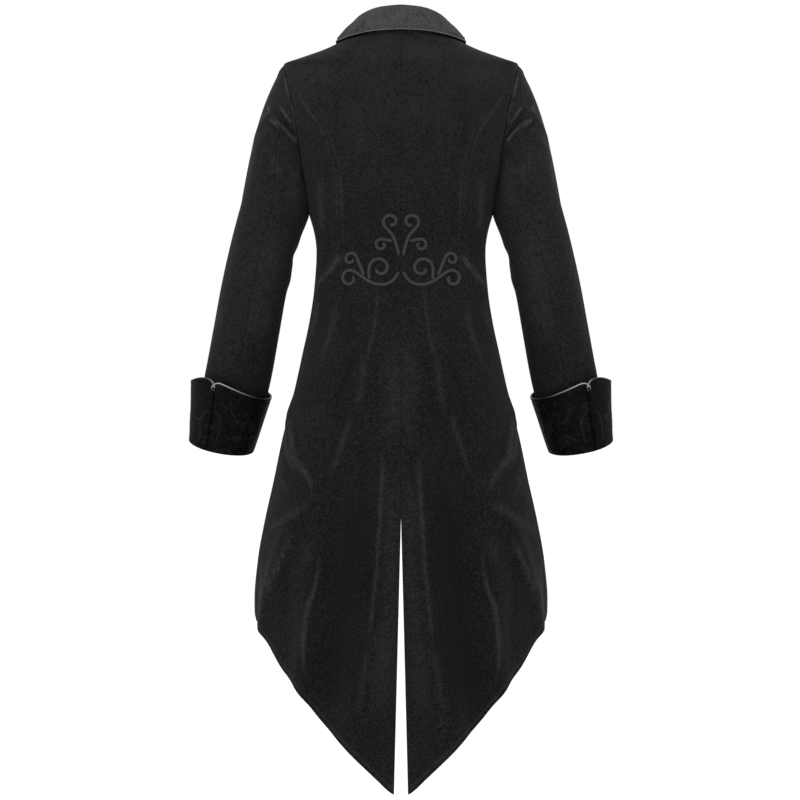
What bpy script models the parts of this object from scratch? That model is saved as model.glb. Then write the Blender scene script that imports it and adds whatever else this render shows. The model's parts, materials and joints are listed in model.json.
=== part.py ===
"""Swallow-tail velvet coat, filled out with no wearer: every piece is a thin wall of cloth.

Frame: metres, +Z up. The front faces -Y and the wearer's left is +X. The origin lies midway
between the two points where the shoulder seams meet the neckline. The tables below are in
millimetres and degrees, and MM turns them into metres when a mesh is made.

The body is a stack of horizontal sections, each a rounded oval. A place on it is an angle, from
0 at the centre back through 90 at the side to 180 at the centre front, and a height. All panels,
the collar, the buttons and the scroll cords are sampled from that one surface.
"""

import math

import bmesh
import bpy
import numpy as np
from mathutils import Vector
from mathutils.bvhtree import BVHTree

COAT = "gothic_coat"
MM = 0.001
CLOTH = 2.5
TURNED_CLOTH = 3.0
COLLAR_CLOTH = 2.6
SEAM = 0.3

# Horizontal sections of the body: half width, depth behind and before the sleeves' line, and
# the squareness of the oval, where 2 is an ellipse.
SECTION_COLUMNS = ("height", "half_width", "back", "front", "squareness")
SECTIONS = (
    (40.0, 75.0, 57.0, 26.0, 2.4),
    (18.0, 75.0, 60.0, 26.0, 2.4),
    (0.0, 75.0, 65.0, 28.0, 2.4),
    (-2.0, 83.0, 65.6, 32.0, 2.4),
    (-8.0, 98.0, 67.2, 37.5, 2.4),
    (-14.0, 110.0, 69.0, 41.5, 2.4),
    (-21.0, 126.0, 71.4, 46.5, 2.4),
    (-29.0, 148.5, 74.4, 52.7, 2.4),
    (-35.6, 168.0, 77.0, 57.0, 2.4),
    (-43.0, 187.0, 80.0, 61.0, 2.4),
    (-80.0, 187.0, 91.0, 76.0, 2.4),
    (-120.0, 182.0, 100.0, 95.0, 2.4),
    (-160.0, 174.0, 105.0, 116.0, 2.4),
    (-200.0, 164.0, 104.0, 126.0, 2.4),
    (-239.0, 154.0, 100.0, 122.0, 2.3),
    (-280.0, 145.0, 93.0, 108.0, 2.3),
    (-343.0, 135.0, 84.0, 98.0, 2.2),
    (-403.0, 139.0, 92.0, 107.0, 2.2),
    (-451.0, 146.0, 106.0, 118.0, 2.2),
    (-515.0, 160.0, 123.0, 129.0, 2.2),
    (-579.0, 175.0, 137.0, 137.0, 2.2),
    (-643.0, 191.2, 145.0, 145.0, 2.15),
    (-707.0, 204.3, 149.0, 151.0, 2.15),
    (-771.0, 218.4, 153.0, 155.0, 2.15),
    (-835.0, 229.6, 156.0, 159.0, 2.15),
    (-899.0, 234.8, 158.0, 161.0, 2.15),
    (-960.0, 233.0, 159.0, 161.0, 2.15),
    (-1210.0, 230.0, 160.0, 161.0, 2.15),
)

# Heights at which the rows of the panels meet each seam, from the neckline to the waist.
# The side line is the shoulder seam in rows 0 to 3, the armhole in rows 3 to 11 and the side
# seam below. The princess seam leaves the armhole at row 5.
ROW_COLUMNS = ("row", "centre_back", "princess", "side", "centre_front")
ROWS = (
    (0, 18.0, 0.0, 0.0, -77.0),
    (1, 4.0, -8.0, -8.0, -84.0),
    (2, -14.0, -24.0, -24.0, -91.0),
    (3, -37.0, -43.0, -43.0, -99.0),
    (4, -59.0, -60.0, -60.0, -108.0),
    (5, -80.0, -80.0, -80.0, -119.0),
    (6, -104.0, -104.0, -101.0, -132.0),
    (7, -131.0, -131.0, -124.0, -148.0),
    (8, -158.0, -158.0, -150.0, -167.0),
    (9, -186.0, -186.0, -180.0, -191.0),
    (10, -213.0, -213.0, -213.0, -218.0),
    (11, -241.0, -241.0, -246.0, -250.0),
    (12, -270.0, -270.0, -292.0, -293.0),
    (13, -301.0, -301.0, -343.0, -343.0),
    (14, -333.0, -333.0, -405.0, -400.0),
)
SHOULDER_TIP = 3
PRINCESS_TOP = 5
ARMPIT = 11
WAIST_SEAM = 14
SKIRT_ROWS = 17

# Armhole seen from the side: how far its back and front edges stand from the sleeves' line.
ARMHOLE_COLUMNS = ("height", "back", "front")
ARMHOLE = (
    (-43.0, 0.0, 0.0),
    (-60.0, 23.0, 24.0),
    (-80.0, 33.0, 35.0),
    (-101.0, 42.0, 44.0),
    (-124.0, 47.0, 50.0),
    (-150.0, 46.5, 53.0),
    (-180.0, 42.0, 51.0),
    (-213.0, 30.0, 37.0),
    (-246.0, 0.0, 0.0),
)

PRINCESS_COLUMNS = ("height", "x")
PRINCESS = (
    (-80.0, 177.0),
    (-104.0, 153.0),
    (-131.0, 134.0),
    (-170.0, 113.5),
    (-223.0, 100.5),
    (-270.0, 96.5),
    (-333.0, 96.3),
    (-430.0, 103.0),
    (-519.0, 107.0),
    (-642.0, 119.0),
    (-795.0, 130.0),
    (-878.0, 138.0),
    (-973.0, 150.0),
    (-1100.0, 150.0),
)

SIDE_SEAM_COLUMNS = ("height", "angle")
SIDE_SEAM = ((-246.0, 90.0), (-292.0, 87.0), (-343.0, 82.0), (-405.0, 80.0), (-1000.0, 76.0))

HEM_COLUMNS = ("angle", "height")
HEM = (
    (0.0, -1194.5),
    (3.0, -1188.6),
    (8.0, -1169.2),
    (14.0, -1145.3),
    (20.0, -1121.0),
    (26.0, -1100.1),
    (32.0, -1077.3),
    (38.0, -1049.4),
    (45.0, -1022.0),
    (52.0, -1001.9),
    (59.0, -977.0),
    (66.0, -951.0),
    (73.0, -936.5),
    (80.0, -926.5),
    (90.0, -909.0),
    (105.0, -868.0),
    (122.0, -803.0),
    (140.0, -728.0),
    (158.0, -650.0),
    (172.0, -588.0),
    (186.0, -560.0),
)

# The centre back is open below the vent's top, and each tail's edge moves out towards its tip.
VENT_TOP = -751.0
VENT_FOOT = -1192.0
VENT_HALF_WIDTH = 11.2

# The right front laps over the left: half the lap, how far it is lifted, and where it settles.
LAP = 18.0
LAP_LIFT = 3.6
LAP_FLAT_TO = 24.0
LAP_SETTLED = 52.0

# The largest folds, as soft ridges, or troughs where the lift is below zero. Each runs from one
# place to another, rises over its run in and keeps its lift below the second place.
FOLD_COLUMNS = ("angle", "height", "to_angle", "to_height", "width", "lift", "run_in", "run_out")
FOLDS = (
    (13.0, -400.0, 21.0, -620.0, 15.0, 4.0, 60.0, 90.0),
    (6.5, -640.0, 19.5, -1120.0, 22.0, 9.0, 110.0, 0.0),
    (27.0, -640.0, 28.0, -1120.0, 26.0, -8.0, 160.0, 0.0),
    (34.0, -800.0, 42.0, -1060.0, 18.0, 9.0, 90.0, 0.0),
    (50.0, -770.0, 70.0, -960.0, 22.0, 8.0, 90.0, 0.0),
    (52.0, -690.0, 82.0, -590.0, 16.0, 5.0, 60.0, 60.0),
    (98.0, -560.0, 100.0, -900.0, 26.0, -8.0, 150.0, 0.0),
    (116.0, -520.0, 118.0, -860.0, 24.0, 8.0, 140.0, 0.0),
    (136.0, -500.0, 136.0, -760.0, 22.0, -6.0, 120.0, 0.0),
    (152.0, -460.0, 152.0, -680.0, 20.0, 6.0, 110.0, 0.0),
)

# Left sleeve below the armhole: its axis and its two half widths, across and fore and aft.
SLEEVE_COLUMNS = ("height", "x", "y", "across", "deep")
SLEEVE = (
    (-276.0, 203.5, 1.0, 53.2, 57.0),
    (-307.0, 212.0, 2.0, 53.2, 56.0),
    (-339.0, 220.5, 2.0, 52.9, 54.0),
    (-403.0, 235.5, -2.0, 52.5, 50.0),
    (-467.0, 247.5, -10.0, 52.8, 47.0),
    (-531.0, 260.0, -27.0, 53.2, 45.0),
    (-600.0, 276.0, -46.0, 51.5, 43.5),
    (-651.0, 290.5, -60.0, 50.0, 43.0),
)
# The rings lie nearer level across the arm than square to it, by this share of its lean.
RING_LEAN = 0.65
SLEEVE_CAP_ROWS = (0.0, 0.07, 0.17, 0.29, 0.43, 0.6, 0.8)
SLEEVE_RINGS = 12
RING = 16
CAP_SIDE = np.array((0.82, 0.0, -0.57))
CAP_TOP = np.array((0.54, 0.0, -0.84))
CAP_FOOT = np.array((-0.06, 0.0, -1.0))
SLEEVE_RADIUS = 52.0
SLEEVE_SLOPE_REACH = 12.0
SLEEVE_SEAM_BACK = 4
SLEEVE_SEAM_FRONT = 10

# Soft breaks of the cloth on the sleeve: place down it as a height, direction round it from
# the outer side towards the back, half lengths both ways and the lift.
SLEEVE_FOLD_COLUMNS = ("height", "around", "tall", "wide", "slant", "lift")
SLEEVE_FOLDS = (
    (-128.0, 45.0, 12.0, 34.0, 0.75, 3.0),
    (-160.0, 62.0, 12.0, 30.0, 0.7, 2.5),
    (-350.0, 180.0, 12.0, 60.0, 0.0, -3.0),
    (-385.0, 200.0, 12.0, 50.0, 0.2, 2.0),
    (-430.0, 110.0, 22.0, 40.0, 0.4, -2.0),
)

# The turned-back cuff. Its wall starts under the sleeve's end, turns round it and flares up.
# Each row is a place along the sleeve's wall and how far the cuff's middle stands off from it
# on the outer and on the inner side of the arm. The last rows are shares of the cuff's height.
CUFF_FOLD_COLUMNS = ("up", "off")
CUFF_FOLD = ((-2.1, -2.4), (-2.1, -0.2), (-1.5, 1.5), (0.0, 2.15))
CUFF_FLARE_COLUMNS = ("share", "outer", "inner")
CUFF_FLARE = (
    (0.12, 3.2, 4.0),
    (0.4, 6.4, 7.6),
    (0.7, 10.4, 11.4),
    (1.0, 15.0, 15.5),
)
CUFF_HEIGHT = 92.0
CUFF_RISE = 25.0
CUFF_RISE_AT = 58.0
CUFF_RISE_REACH = {"outer": 42.0, "inner": 66.0}
CUFF_SLIT = 67.5
CUFF_SLIT_FOOT = 0.5
CUFF_SLIT_TOP = 1.8
CUFF_CORNER = 9.0
CUFF_CORNER_COLUMNS = np.array((0.0, 2.5, 7.5))

# The collar at stations round the neck: 0 is the centre back, 1 the shoulder seam and 2 the
# centre front. The fold is its top line and the edge its outer one.
COLLAR_COLUMNS = ("station", "fold_x", "fold_y", "fold_z", "edge_x", "edge_y", "edge_z")
COLLAR = (
    (0.0, 0.0, 57.0, 45.5, 0.0, 67.5, 7.4),
    (0.35, 34.0, 51.0, 43.0, 42.0, 61.5, 5.6),
    (0.7, 61.0, 31.0, 34.0, 81.0, 39.5, -1.6),
    (0.87, 69.0, 14.0, 29.5, 94.5, 20.0, -5.6),
    (1.0, 73.0, 0.0, 25.8, 102.0, 2.0, -7.0),
    (1.15, 73.0, -27.0, 12.0, 103.5, -28.0, -17.0),
    (1.3, 66.0, -48.0, -8.0, 101.0, -56.0, -35.0),
    (1.6, 43.0, -70.0, -40.0, 89.0, -84.0, -79.0),
    (1.8, 22.0, -79.0, -52.0, 73.0, -94.0, -100.0),
    (2.0, 2.0, -82.0, -58.0, 53.0, -99.0, -113.0),
)
COLLAR_ROLL = 2.7
COLLAR_ROLL_TURNS = (60, 120)
COLLAR_FALL_SHARES = (0.35, 0.7, 1.0)
COLLAR_BULGE = 3.5
COLLAR_END_X = 2.0
# The neck as an oval, which gives the way out from it at any place.
NECK_HALF_WIDTH = 75.0
NECK_HALF_DEPTH = 68.0

# Scroll cords on the back waist. Each starts at a place in the view from behind, follows its
# lead, as lengths and headings in degrees from the wearer's left towards up, and ends in the one
# curl that they all share. The curl turns a quarter over each of its lengths, times the cord's
# size, to the left where its hand is 1 and to the right where it is -1.
CORD_WIDTH = 4.6
CORD_HEIGHT = 2.2
CORD_STEP = 5.2
CORD_CLEARANCE = 0.45
CORD_END_SHARE = 0.55
CORD_TOP_SHARE = 0.54
CURL_QUARTERS = (20.0, 16.0, 12.0, 9.0)
SCROLL_COLUMNS = ("x", "z", "lead", "size", "hand")
SCROLLS = {
    "crown": (3.5, -350.0, ((0, 76), (20, 72), (45, 45)), 1.0, 1),
    "brow": (19.0, -328.0, ((0, 10), (8, 10)), 0.75, -1),
    "sweep": (4.5, -380.0, ((0, -60), (34, 0), (62, 35), (78, 35)), 1.1, -1),
    "wheel": (50.0, -384.0, ((0, 85), (10, 95)), 1.3, 1),
    "hook": (60.0, -378.0, ((0, 68), (24, 68)), 0.8, -1),
}

BUTTON_HEIGHTS = (-122.0, -197.0, -272.0, -347.0, -422.0)
BUTTON_PROFILE = (
    (0.0, 4.6),
    (5.0, 4.4),
    (8.0, 3.7),
    (9.4, 3.9),
    (10.6, 3.3),
    (11.0, 2.4),
    (10.2, 1.3),
    (5.5, 0.8),
    (5.5, 0.0),
    (0.0, 0.0),
)
BUTTON_STEPS = 14
BUTTON_CLEARANCE = 0.55

BACK_COLUMNS = 9
SIDE_COLUMNS = 5
FRONT_COLUMNS = 12
TIP_SHARE = 0.06


def smooth(columns, rows, wanted, along, at):
    """A table's wanted column at the given places, on a smooth curve that never overshoots."""
    table = np.array(sorted(rows, key=lambda row: row[columns.index(along)]), dtype=float)
    key = table[:, columns.index(along)]
    value = table[:, columns.index(wanted)]
    step = np.diff(key)
    secant = np.diff(value) / step
    slope = np.zeros(len(key))
    slope[0], slope[-1] = secant[0], secant[-1]
    before, after = secant[:-1], secant[1:]
    same_way = before * after > 0
    mean = np.where(same_way, 2 * before * after / np.where(same_way, before + after, 1), 0)
    slope[1:-1] = mean
    at = np.clip(np.asarray(at, dtype=float), key[0], key[-1])
    place = np.clip(np.searchsorted(key, at, side="right") - 1, 0, len(key) - 2)
    u = (at - key[place]) / step[place]
    start = value[place] * (1 + 2 * u) * (1 - u) ** 2 + value[place + 1] * u**2 * (3 - 2 * u)
    bend = slope[place] * u * (1 - u) ** 2 + slope[place + 1] * u**2 * (u - 1)
    return start + step[place] * bend


def ease(value, start, end):
    """0 at the start, 1 at the end, and level at both."""
    share = np.clip((np.asarray(value, dtype=float) - start) / (end - start), 0, 1)
    return share * share * (3 - 2 * share)


def unit(vectors):
    return vectors / np.linalg.norm(vectors, axis=-1, keepdims=True)


def signed_power(base, exponent):
    return np.sign(base) * np.abs(base) ** exponent


# The body's surface


def section(height):
    return [
        smooth(SECTION_COLUMNS, SECTIONS, name, "height", height)
        for name in ("half_width", "back", "front", "squareness")
    ]


def body_point(angle, height):
    half_width, back, front, squareness = section(height)
    turn = np.radians(angle)
    depth = np.where(np.cos(turn) >= 0, back, front)
    x = half_width * signed_power(np.sin(turn), 2 / squareness)
    y = depth * signed_power(np.cos(turn), 2 / squareness)
    return np.stack([x, y, np.asarray(height, dtype=float) + 0 * x], axis=-1)


def fullness(x, y, height):
    """Under 1 inside the body's section at this height, and over 1 outside it."""
    half_width, back, front, squareness = section(height)
    depth = np.where(y >= 0, back, front)
    return np.abs(x / half_width) ** squareness + np.abs(y / depth) ** squareness


def body_normal(points, reach=0.5):
    x, y, z = points[..., 0], points[..., 1], points[..., 2]
    gradient = [
        fullness(x + reach, y, z) - fullness(x - reach, y, z),
        fullness(x, y + reach, z) - fullness(x, y - reach, z),
        fullness(x, y, z + reach) - fullness(x, y, z - reach),
    ]
    return unit(np.stack(gradient, axis=-1))


def fold_relief(angle, height):
    half_width, back, front, _ = section(height)
    radius = np.sqrt((half_width**2 + np.where(angle < 90, back, front) ** 2) / 2)
    relief = np.zeros_like(radius)
    for row in FOLDS:
        fold = dict(zip(FOLD_COLUMNS, row))
        share = (height - fold["height"]) / (fold["to_height"] - fold["height"])
        middle = fold["angle"] + share * (fold["to_angle"] - fold["angle"])
        across = np.radians(angle - middle) * radius / fold["width"]
        down = fold["height"] - height
        if fold["to_height"] > fold["height"]:
            down = height - fold["height"]
        length = abs(fold["to_height"] - fold["height"])
        along = ease(down, -fold["run_in"] / 2, fold["run_in"] / 2)
        if fold["run_out"]:
            along = along * ease(down, length + fold["run_out"] / 2, length - fold["run_out"] / 2)
        relief += fold["lift"] * along * np.exp(-(across**2))
    return relief


def outer_face(angle, height):
    """Points of the coat's outer face with its large folds, and the smooth body's normals."""
    points = body_point(angle, height)
    normals = body_normal(points)
    return points + normals * fold_relief(angle, height)[..., None], normals


def angle_at_x(x, height):
    """The angle, from the centre back, of the place this far to the side of the middle."""
    half_width, _, _, squareness = section(height)
    sine = signed_power(np.clip(x / half_width, -1, 1), squareness / 2)
    return np.degrees(np.arcsin(sine))


def angle_at_depth(y, height, side):
    """The angle of the place this far behind or before the sleeves' line."""
    _, back, front, squareness = section(height)
    depth = back if side == "back" else front
    angle = np.degrees(np.arccos(np.clip(y / depth, 0, 1) ** (squareness / 2)))
    return angle if side == "back" else 180 - angle


# The seams, each a list of angles and heights, one for each row from neckline to hem


def row_heights(name):
    return np.array([row[ROW_COLUMNS.index(name)] for row in ROWS])


def armhole_angle(height, side):
    reach = smooth(ARMHOLE_COLUMNS, ARMHOLE, side, "height", height)
    return angle_at_depth(reach, height, side)


def princess_angle(height):
    return angle_at_x(smooth(PRINCESS_COLUMNS, PRINCESS, "x", "height", height), height)


def side_seam_angle(height):
    return smooth(SIDE_SEAM_COLUMNS, SIDE_SEAM, "angle", "height", height)


def centre_back_angle(height):
    share = np.clip((VENT_TOP - height) / (VENT_TOP - VENT_FOOT), 0, None)
    return angle_at_x(VENT_HALF_WIDTH * share, height)


def lap_angle(height):
    return 180 + angle_at_x(LAP + 0 * height, height)


def hem_height(angle):
    return smooth(HEM_COLUMNS, HEM, "height", "angle", angle)


def down_to_hem(waist, foot):
    """Heights of the skirt's rows below the waist seam, evenly spaced down to the hem."""
    share = np.arange(1, SKIRT_ROWS + 1) / SKIRT_ROWS
    return waist + (foot - waist) * share


def foot_of(angle_of, rounds=40):
    """The height at which a seam, given as its angle by height, runs off the hem."""
    height = np.float64(-900.0)
    for _ in range(rounds):
        height = (height + hem_height(angle_of(height))) / 2
    return height


def seam_line(name, angle_of):
    """Heights of a seam's rows, from the neckline to the hem."""
    heights = row_heights(name)
    return np.concatenate([heights, down_to_hem(heights[-1], foot_of(angle_of))])


def shoulder_and_armhole(heights, side, below, last_armhole_row):
    """Angles of a line that is the shoulder seam, then the armhole, then the seam below."""
    angles = below(heights)
    angles[:SHOULDER_TIP + 1] = 90.0
    on_armhole = slice(SHOULDER_TIP + 1, last_armhole_row + 1)
    angles[on_armhole] = armhole_angle(heights[on_armhole], side)
    return angles


def seams():
    """Every seam's angles and heights, by name."""
    centre_back = seam_line("centre_back", centre_back_angle)
    princess = seam_line("princess", princess_angle)
    side = seam_line("side", side_seam_angle)
    lap = seam_line("centre_front", lap_angle)
    return {
        "centre_back": (centre_back_angle(centre_back), centre_back),
        "princess": (
            shoulder_and_armhole(princess, "back", princess_angle, PRINCESS_TOP),
            princess,
        ),
        "side_behind": (shoulder_and_armhole(side, "back", side_seam_angle, ARMPIT), side),
        "side_before": (shoulder_and_armhole(side, "front", side_seam_angle, ARMPIT), side),
        "lap": (lap_angle(lap), lap),
    }


# The panels' grids, a row for each height and a column for each share of the way across


def yoke_row(middle, near, far, share):
    """A row from the centre line round to the shoulder or the armhole, falling like a neckline."""
    near_angle, near_height = near
    far_angle, far_height = far
    angle = near_angle + (far_angle - near_angle) * share
    x = body_point(angle, far_height)[..., 0]
    height = far_height + (near_height - far_height) * np.cos(np.radians(90 * share))
    bent = angle_at_x(x, height)
    return (bent if middle == 0 else 180 - bent), height


def level_row(near, far, share, droop):
    """A row straight across, or one that drops fast at its near end and levels off."""
    angle = near[0] + (far[0] - near[0]) * share
    fall = np.sin(np.radians(90 * share)) if droop else share
    return angle, near[1] + (far[1] - near[1]) * fall


def panel(near, far, columns, first, last, yoke_rows=0, middle=0, droop=False):
    """Angles and heights of a panel's grid between two seams, from its first to its last row."""
    share = np.arange(columns + 1) / columns
    angles, heights = [], []
    for row in range(first, last + 1):
        ends = (near[0][row], near[1][row]), (far[0][row], far[1][row])
        if row > WAIST_SEAM:
            top_angle, top_height = angles[WAIST_SEAM - first], heights[WAIST_SEAM - first]
            angle = ends[0][0] + (ends[1][0] - ends[0][0]) * share
            foot_angle = near[0][-1] + (far[0][-1] - near[0][-1]) * share
            down = (row - WAIST_SEAM) / SKIRT_ROWS
            height = top_height + (hem_height(foot_angle) - top_height) * down
            height[0], height[-1] = ends[0][1], ends[1][1]
        elif row < yoke_rows:
            angle, height = yoke_row(middle, *ends, share)
        else:
            angle, height = level_row(*ends, share, droop)
        angles.append(angle)
        heights.append(height)
    return np.array(angles), np.array(heights)


EDGES = {
    "near": ((slice(None), 0), (slice(None), 1)),
    "far": ((slice(None), -1), (slice(None), -2)),
    "top": ((0,), (1,)),
    "foot": ((-1,), (-2,)),
}


def drawn_in(grid, edges, distance=SEAM / 2):
    """The grid with its named edges moved into the piece, square to their own run."""
    moved = grid.copy()
    for name in edges:
        edge, neighbour = EDGES[name]
        run = unit(np.gradient(grid[edge], axis=0))
        inward = grid[neighbour] - grid[edge]
        inward = unit(inward - (inward * run).sum(axis=-1, keepdims=True) * run)
        moved[edge] += inward * distance
    return moved


def walled(outer, normals, edges, thickness=CLOTH):
    """Outer and inner faces of a wall of cloth, with its seam edges drawn in."""
    return drawn_in(outer, edges), drawn_in(outer - normals * thickness, edges)


def blunted(outer, normals):
    """A panel whose first row is one point, given a narrow top instead."""
    outer, normals = outer.copy(), normals.copy()
    outer[0] += (outer[1] - outer[0]) * TIP_SHARE
    normals[0] = unit(normals[0] + (normals[1] - normals[0]) * TIP_SHARE)
    return outer, normals


def back_face(lines):
    angles, heights = panel(
        lines["centre_back"], lines["princess"], BACK_COLUMNS, 0, WAIST_SEAM + SKIRT_ROWS,
        yoke_rows=PRINCESS_TOP,
    )
    return outer_face(angles, heights)


def side_back_face(lines):
    angles, heights = panel(
        lines["princess"], lines["side_behind"], SIDE_COLUMNS, PRINCESS_TOP, WAIST_SEAM,
        droop=True,
    )
    return blunted(*outer_face(angles, heights))


def side_skirt_face(lines):
    angles, heights = panel(
        lines["princess"], lines["side_behind"], SIDE_COLUMNS, WAIST_SEAM,
        WAIST_SEAM + SKIRT_ROWS, droop=True,
    )
    return outer_face(angles, heights)


def front_angles(lines):
    return panel(
        lines["lap"], lines["side_before"], FRONT_COLUMNS, 0, WAIST_SEAM + SKIRT_ROWS,
        yoke_rows=ARMPIT, middle=180,
    )


def front_walls(lines, over):
    """A front's wall; the one that laps over is lifted off the other beside the centre."""
    outer, normals = outer_face(*front_angles(lines))
    if over:
        lift = LAP_LIFT * (1 - ease(outer[..., 0], LAP_FLAT_TO, LAP_SETTLED))
        outer = outer + normals * lift[..., None]
    return walled(outer, normals, ("far", "top"))


# The sleeve


def armhole_ring(lines):
    """Armhole points and body normals: the shoulder tip, down the back, the foot, up the front."""
    angles, heights = [], []
    for row in range(SHOULDER_TIP, ARMPIT + 1):
        angles.append(lines["side_behind"][0][row])
        heights.append(lines["side_behind"][1][row])
    for row in range(ARMPIT - 1, SHOULDER_TIP, -1):
        angles.append(lines["side_before"][0][row])
        heights.append(lines["side_before"][1][row])
    return outer_face(np.array(angles), np.array(heights))


def sleeve_frame(height):
    """Centre, the three directions and the two half widths of a ring round the sleeve."""
    def centre_at(z):
        x = smooth(SLEEVE_COLUMNS, SLEEVE, "x", "height", z)
        y = smooth(SLEEVE_COLUMNS, SLEEVE, "y", "height", z)
        return np.array((float(x), float(y), z))

    low = max(height - SLEEVE_SLOPE_REACH, SLEEVE[-1][0])
    high = min(height + SLEEVE_SLOPE_REACH, SLEEVE[0][0])
    down = (centre_at(low) - centre_at(high)) * np.array((RING_LEAN, 1.0, 1.0))
    down = unit(down)
    back = np.array((0.0, 1.0, 0.0))
    back = unit(back - back.dot(down) * down)
    outward = unit(np.cross(down, back))
    if outward[0] < 0:
        outward = -outward
    across = float(smooth(SLEEVE_COLUMNS, SLEEVE, "across", "height", height))
    deep = float(smooth(SLEEVE_COLUMNS, SLEEVE, "deep", "height", height))
    return centre_at(height), down, outward, back, across, deep


def ring_points(frame, around, off=0.0):
    """Points round a ring, at angles from the outer side towards the back."""
    centre, _, outward, back, across, deep = frame
    turn = np.radians(np.asarray(around, dtype=float))[:, None]
    off = np.reshape(off, (-1, 1))
    return centre + np.cos(turn) * outward * (across + off) + np.sin(turn) * back * (deep + off)


def hermite(start, start_run, end, end_run, share):
    u = share
    return (
        start * (1 + 2 * u) * (1 - u) ** 2
        + start_run * u * (1 - u) ** 2
        + end * u**2 * (3 - 2 * u)
        + end_run * u**2 * (u - 1)
    )


def grid_normals(grid, closed):
    """Normals of a grid, pointing to the left of its columns' run as seen going down its rows."""
    if closed:
        across = np.roll(grid, -1, axis=1) - np.roll(grid, 1, axis=1)
    else:
        across = np.gradient(grid, axis=1)
    return unit(np.cross(np.gradient(grid, axis=0), across))


def sleeve_folds(grid):
    """How far the sleeve's cloth breaks in or out at each point of its grid."""
    relief = np.zeros(grid.shape[:2])
    around = np.arange(grid.shape[1]) * 360 / RING
    for row in SLEEVE_FOLDS:
        fold = dict(zip(SLEEVE_FOLD_COLUMNS, row))
        turn = (around - fold["around"] + 180) % 360 - 180
        sideways = np.radians(turn)[None, :] * SLEEVE_RADIUS
        middle = fold["height"] + fold["slant"] * sideways
        down = (grid[..., 2] - middle) / fold["tall"]
        relief += fold["lift"] * np.exp(-(down**2) - (sideways / fold["wide"]) ** 2)
    relief[0] = 0
    return relief


def sleeve_grid(lines):
    """The whole left sleeve as one closed grid of rings, from the armhole to the wrist."""
    armhole, body_normals = armhole_ring(lines)
    around = np.arange(RING) * 360 / RING
    turn = np.radians(around)[:, None]
    ring = sleeve_frame(SLEEVE[0][0])
    first_ring = ring_points(ring, around)
    top = np.clip(np.cos(turn), 0, 1) ** 2
    foot = np.clip(-np.cos(turn), 0, 1) ** 2
    side = np.sin(turn) ** 2
    leaving = unit(top * CAP_TOP + foot * CAP_FOOT + side * CAP_SIDE)
    bent_away = np.clip(-4 * (leaving * body_normals).sum(axis=1, keepdims=True), 0, 1)
    length = np.linalg.norm(first_ring - armhole, axis=1, keepdims=True)
    rows = [
        hermite(armhole, leaving * length, first_ring, ring[1] * length, share)
        for share in SLEEVE_CAP_ROWS
    ]
    for height in np.linspace(SLEEVE[0][0], SLEEVE[-1][0], SLEEVE_RINGS):
        rows.append(ring_points(sleeve_frame(float(height)), around))
    grid = np.array(rows)
    normals = grid_normals(grid, closed=True)
    grid = grid + normals * sleeve_folds(grid)[..., None]
    normals[0] = unit(normals[0] + bent_away * (body_normals - normals[0]))
    return grid, normals


def sleeve_walls(lines, first, count):
    """A sleeve piece of so many columns, from its first column round towards the back."""
    grid, normals = sleeve_grid(lines)
    wanted = np.arange(first, first + count + 1) % RING
    return walled(grid[:, wanted], normals[:, wanted], ("near", "far", "top"))


# The cuff


def cuff_heights(around, radius):
    """Height of the cuff's top edge round the arm, with round corners beside its slit."""
    past = (around - CUFF_RISE_AT + 180) % 360 - 180
    reach = np.where(past > 0, CUFF_RISE_REACH["inner"], CUFF_RISE_REACH["outer"])
    bump = np.exp(-((past / reach) ** 2))
    from_slit = np.minimum(around - CUFF_SLIT, CUFF_SLIT + 360 - around)
    near_slit = np.clip(1 - np.radians(from_slit) * radius / CUFF_CORNER, 0, 1)
    return CUFF_HEIGHT + CUFF_RISE * bump - CUFF_CORNER * (1 - np.sqrt(1 - near_slit**2))


def cuff_grid():
    frame = sleeve_frame(SLEEVE[-1][0])
    _, down, _, _, across, deep = frame
    step = 360 / RING
    inner_columns = CUFF_SLIT + step * np.arange(1, RING)
    beside = CUFF_CORNER_COLUMNS
    around = np.concatenate([CUFF_SLIT + beside, inner_columns, CUFF_SLIT + 360 - beside[::-1]])
    heights = cuff_heights(around, (across + deep) / 2)
    outer_share = (1 + np.cos(np.radians(around))) / 2
    rows = []
    for up, off in CUFF_FOLD:
        rows.append((up + 0 * around, off + 0 * around))
    for share, outer, inner in CUFF_FLARE:
        rows.append((heights * share, inner + (outer - inner) * outer_share))
    grid = []
    for up, off in rows:
        opened = CUFF_SLIT_FOOT + (CUFF_SLIT_TOP - CUFF_SLIT_FOOT) * np.clip(up / CUFF_HEIGHT, 0, 1)
        shift = np.degrees(opened / across)
        turned = around.copy()
        turned[0] += shift[0]
        turned[-1] -= shift[-1]
        grid.append(ring_points(frame, turned, off) - up[:, None] * down)
    return np.array(grid)


def cuff_walls():
    middle = cuff_grid()
    normals = -grid_normals(middle, closed=False)
    return middle + normals * TURNED_CLOTH / 2, middle - normals * TURNED_CLOTH / 2


# The collar


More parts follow.
